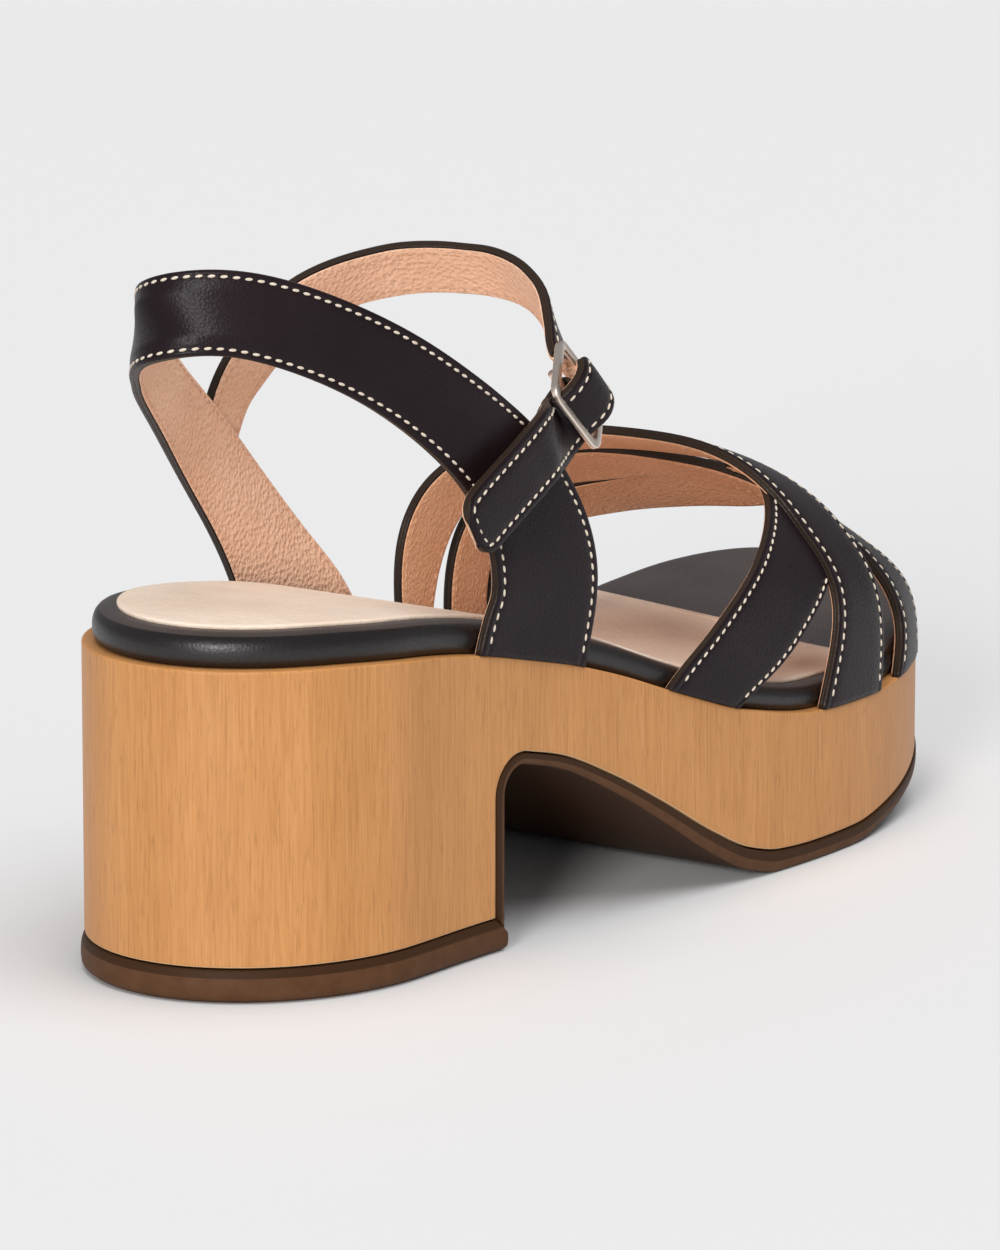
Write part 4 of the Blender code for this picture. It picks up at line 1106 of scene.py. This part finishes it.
# section from the edge inwards: distance from the edge, height over the inner face
TAB_EDGE_ROWS = (
    (2.0, 0.0), (0.5, 0.0), (0.15, 0.1), (0.0, 0.4), (0.0, 0.8), (0.15, 1.1), (0.5, 1.2), (2.0, 1.2),
)
tab_line = through_rows(TAB_ROWS, np.linspace(0.0, len(TAB_ROWS) - 1.0, TAB_STEPS))
tab_step = unit(np.gradient(tab_line, axis=0))
tab_under = tab_line - np.column_stack((-tab_step[:, 1], tab_step[:, 0])) * TAB_WALL / 2.0
tab_across = np.linspace(-0.5, 0.5, TAB_COLUMNS) * TAB_WIDTH
tab_bed = in_buckle([[(along, across, out) for across in tab_across] for along, out in tab_under])
tab_normals = -bed_normals(tab_bed)
buckle_tab = strap_layer("buckle_tab_leather", tab_bed, tab_normals, TAB_EDGE_ROWS)
buckle_tab.data.materials.append(black_grained)
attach(buckle_tab, "root")
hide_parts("buckle_tab")


# Studio: a pale plain floor, one broad light overhead, a smaller soft one beside the camera, an even sky.
# The camera stands at the angle of the picture and frames the one shoe.
FLOOR_SIDE = 14.0
CAMERA_AIM = np.array((0.0, 100.0, 40.0))
CAMERA_BACK = np.array((0.5677, -0.7945, 0.2158))
CAMERA_DISTANCE = 1549.97
CAMERA_LENS = 230.2
bpy.ops.mesh.primitive_plane_add(size=FLOOR_SIDE, location=(0.0, 0.0, 0.0))
floor = bpy.context.object
floor.name = "floor"
floor_finish, _, shader, _ = new_finish("pale floor")
shader.inputs["Base Color"].default_value = (0.80, 0.80, 0.80, 1.0)
shader.inputs["Roughness"].default_value = 0.7
floor.data.materials.append(floor_finish)


def far_light(name, energy, spread, lean, turn, colour):
    """Far soft light: spread is its breadth in the sky, lean its angle from upright, turn its bearing."""
    light = bpy.data.lights.new(name, "SUN")
    light.energy = energy
    light.angle = math.radians(spread)
    light.color = colour
    holder = bpy.data.objects.new(name, light)
    bpy.context.collection.objects.link(holder)
    holder.rotation_euler = (math.radians(lean), 0.0, math.radians(turn))
    return holder


overhead_light = far_light(
    "overhead_light", energy=2.05, spread=60.0, lean=13.0, turn=80.0, colour=(1.0, 1.0, 1.0))
overhead_light.visible_glossy = False
far_light("key_light", energy=1.8, spread=16.0, lean=72.0, turn=19.0, colour=(1.0, 0.985, 0.965))
sky = bpy.data.worlds.new("studio sky")
sky.use_nodes = True
sky.node_tree.nodes["Background"].inputs["Color"].default_value = (0.95, 0.96, 1.0, 1.0)
sky.node_tree.nodes["Background"].inputs["Strength"].default_value = 0.3
bpy.context.scene.world = sky
bpy.context.scene.view_settings.view_transform = "Standard"

camera_data = bpy.data.cameras.new("camera")
camera_data.sensor_width = 36.0
camera_data.lens = CAMERA_LENS
camera_data.shift_x = 0.0316
camera_data.shift_y = 0.0528
camera_data.clip_end = 40.0
camera = bpy.data.objects.new("camera", camera_data)
bpy.context.collection.objects.link(camera)
camera.location = (CAMERA_AIM + SHOE_PLACE + CAMERA_BACK * CAMERA_DISTANCE) * MM
camera.rotation_euler = (
    math.acos(CAMERA_BACK[2]), 0.0, math.atan2(CAMERA_BACK[0], -CAMERA_BACK[1]))
bpy.context.scene.camera = camera
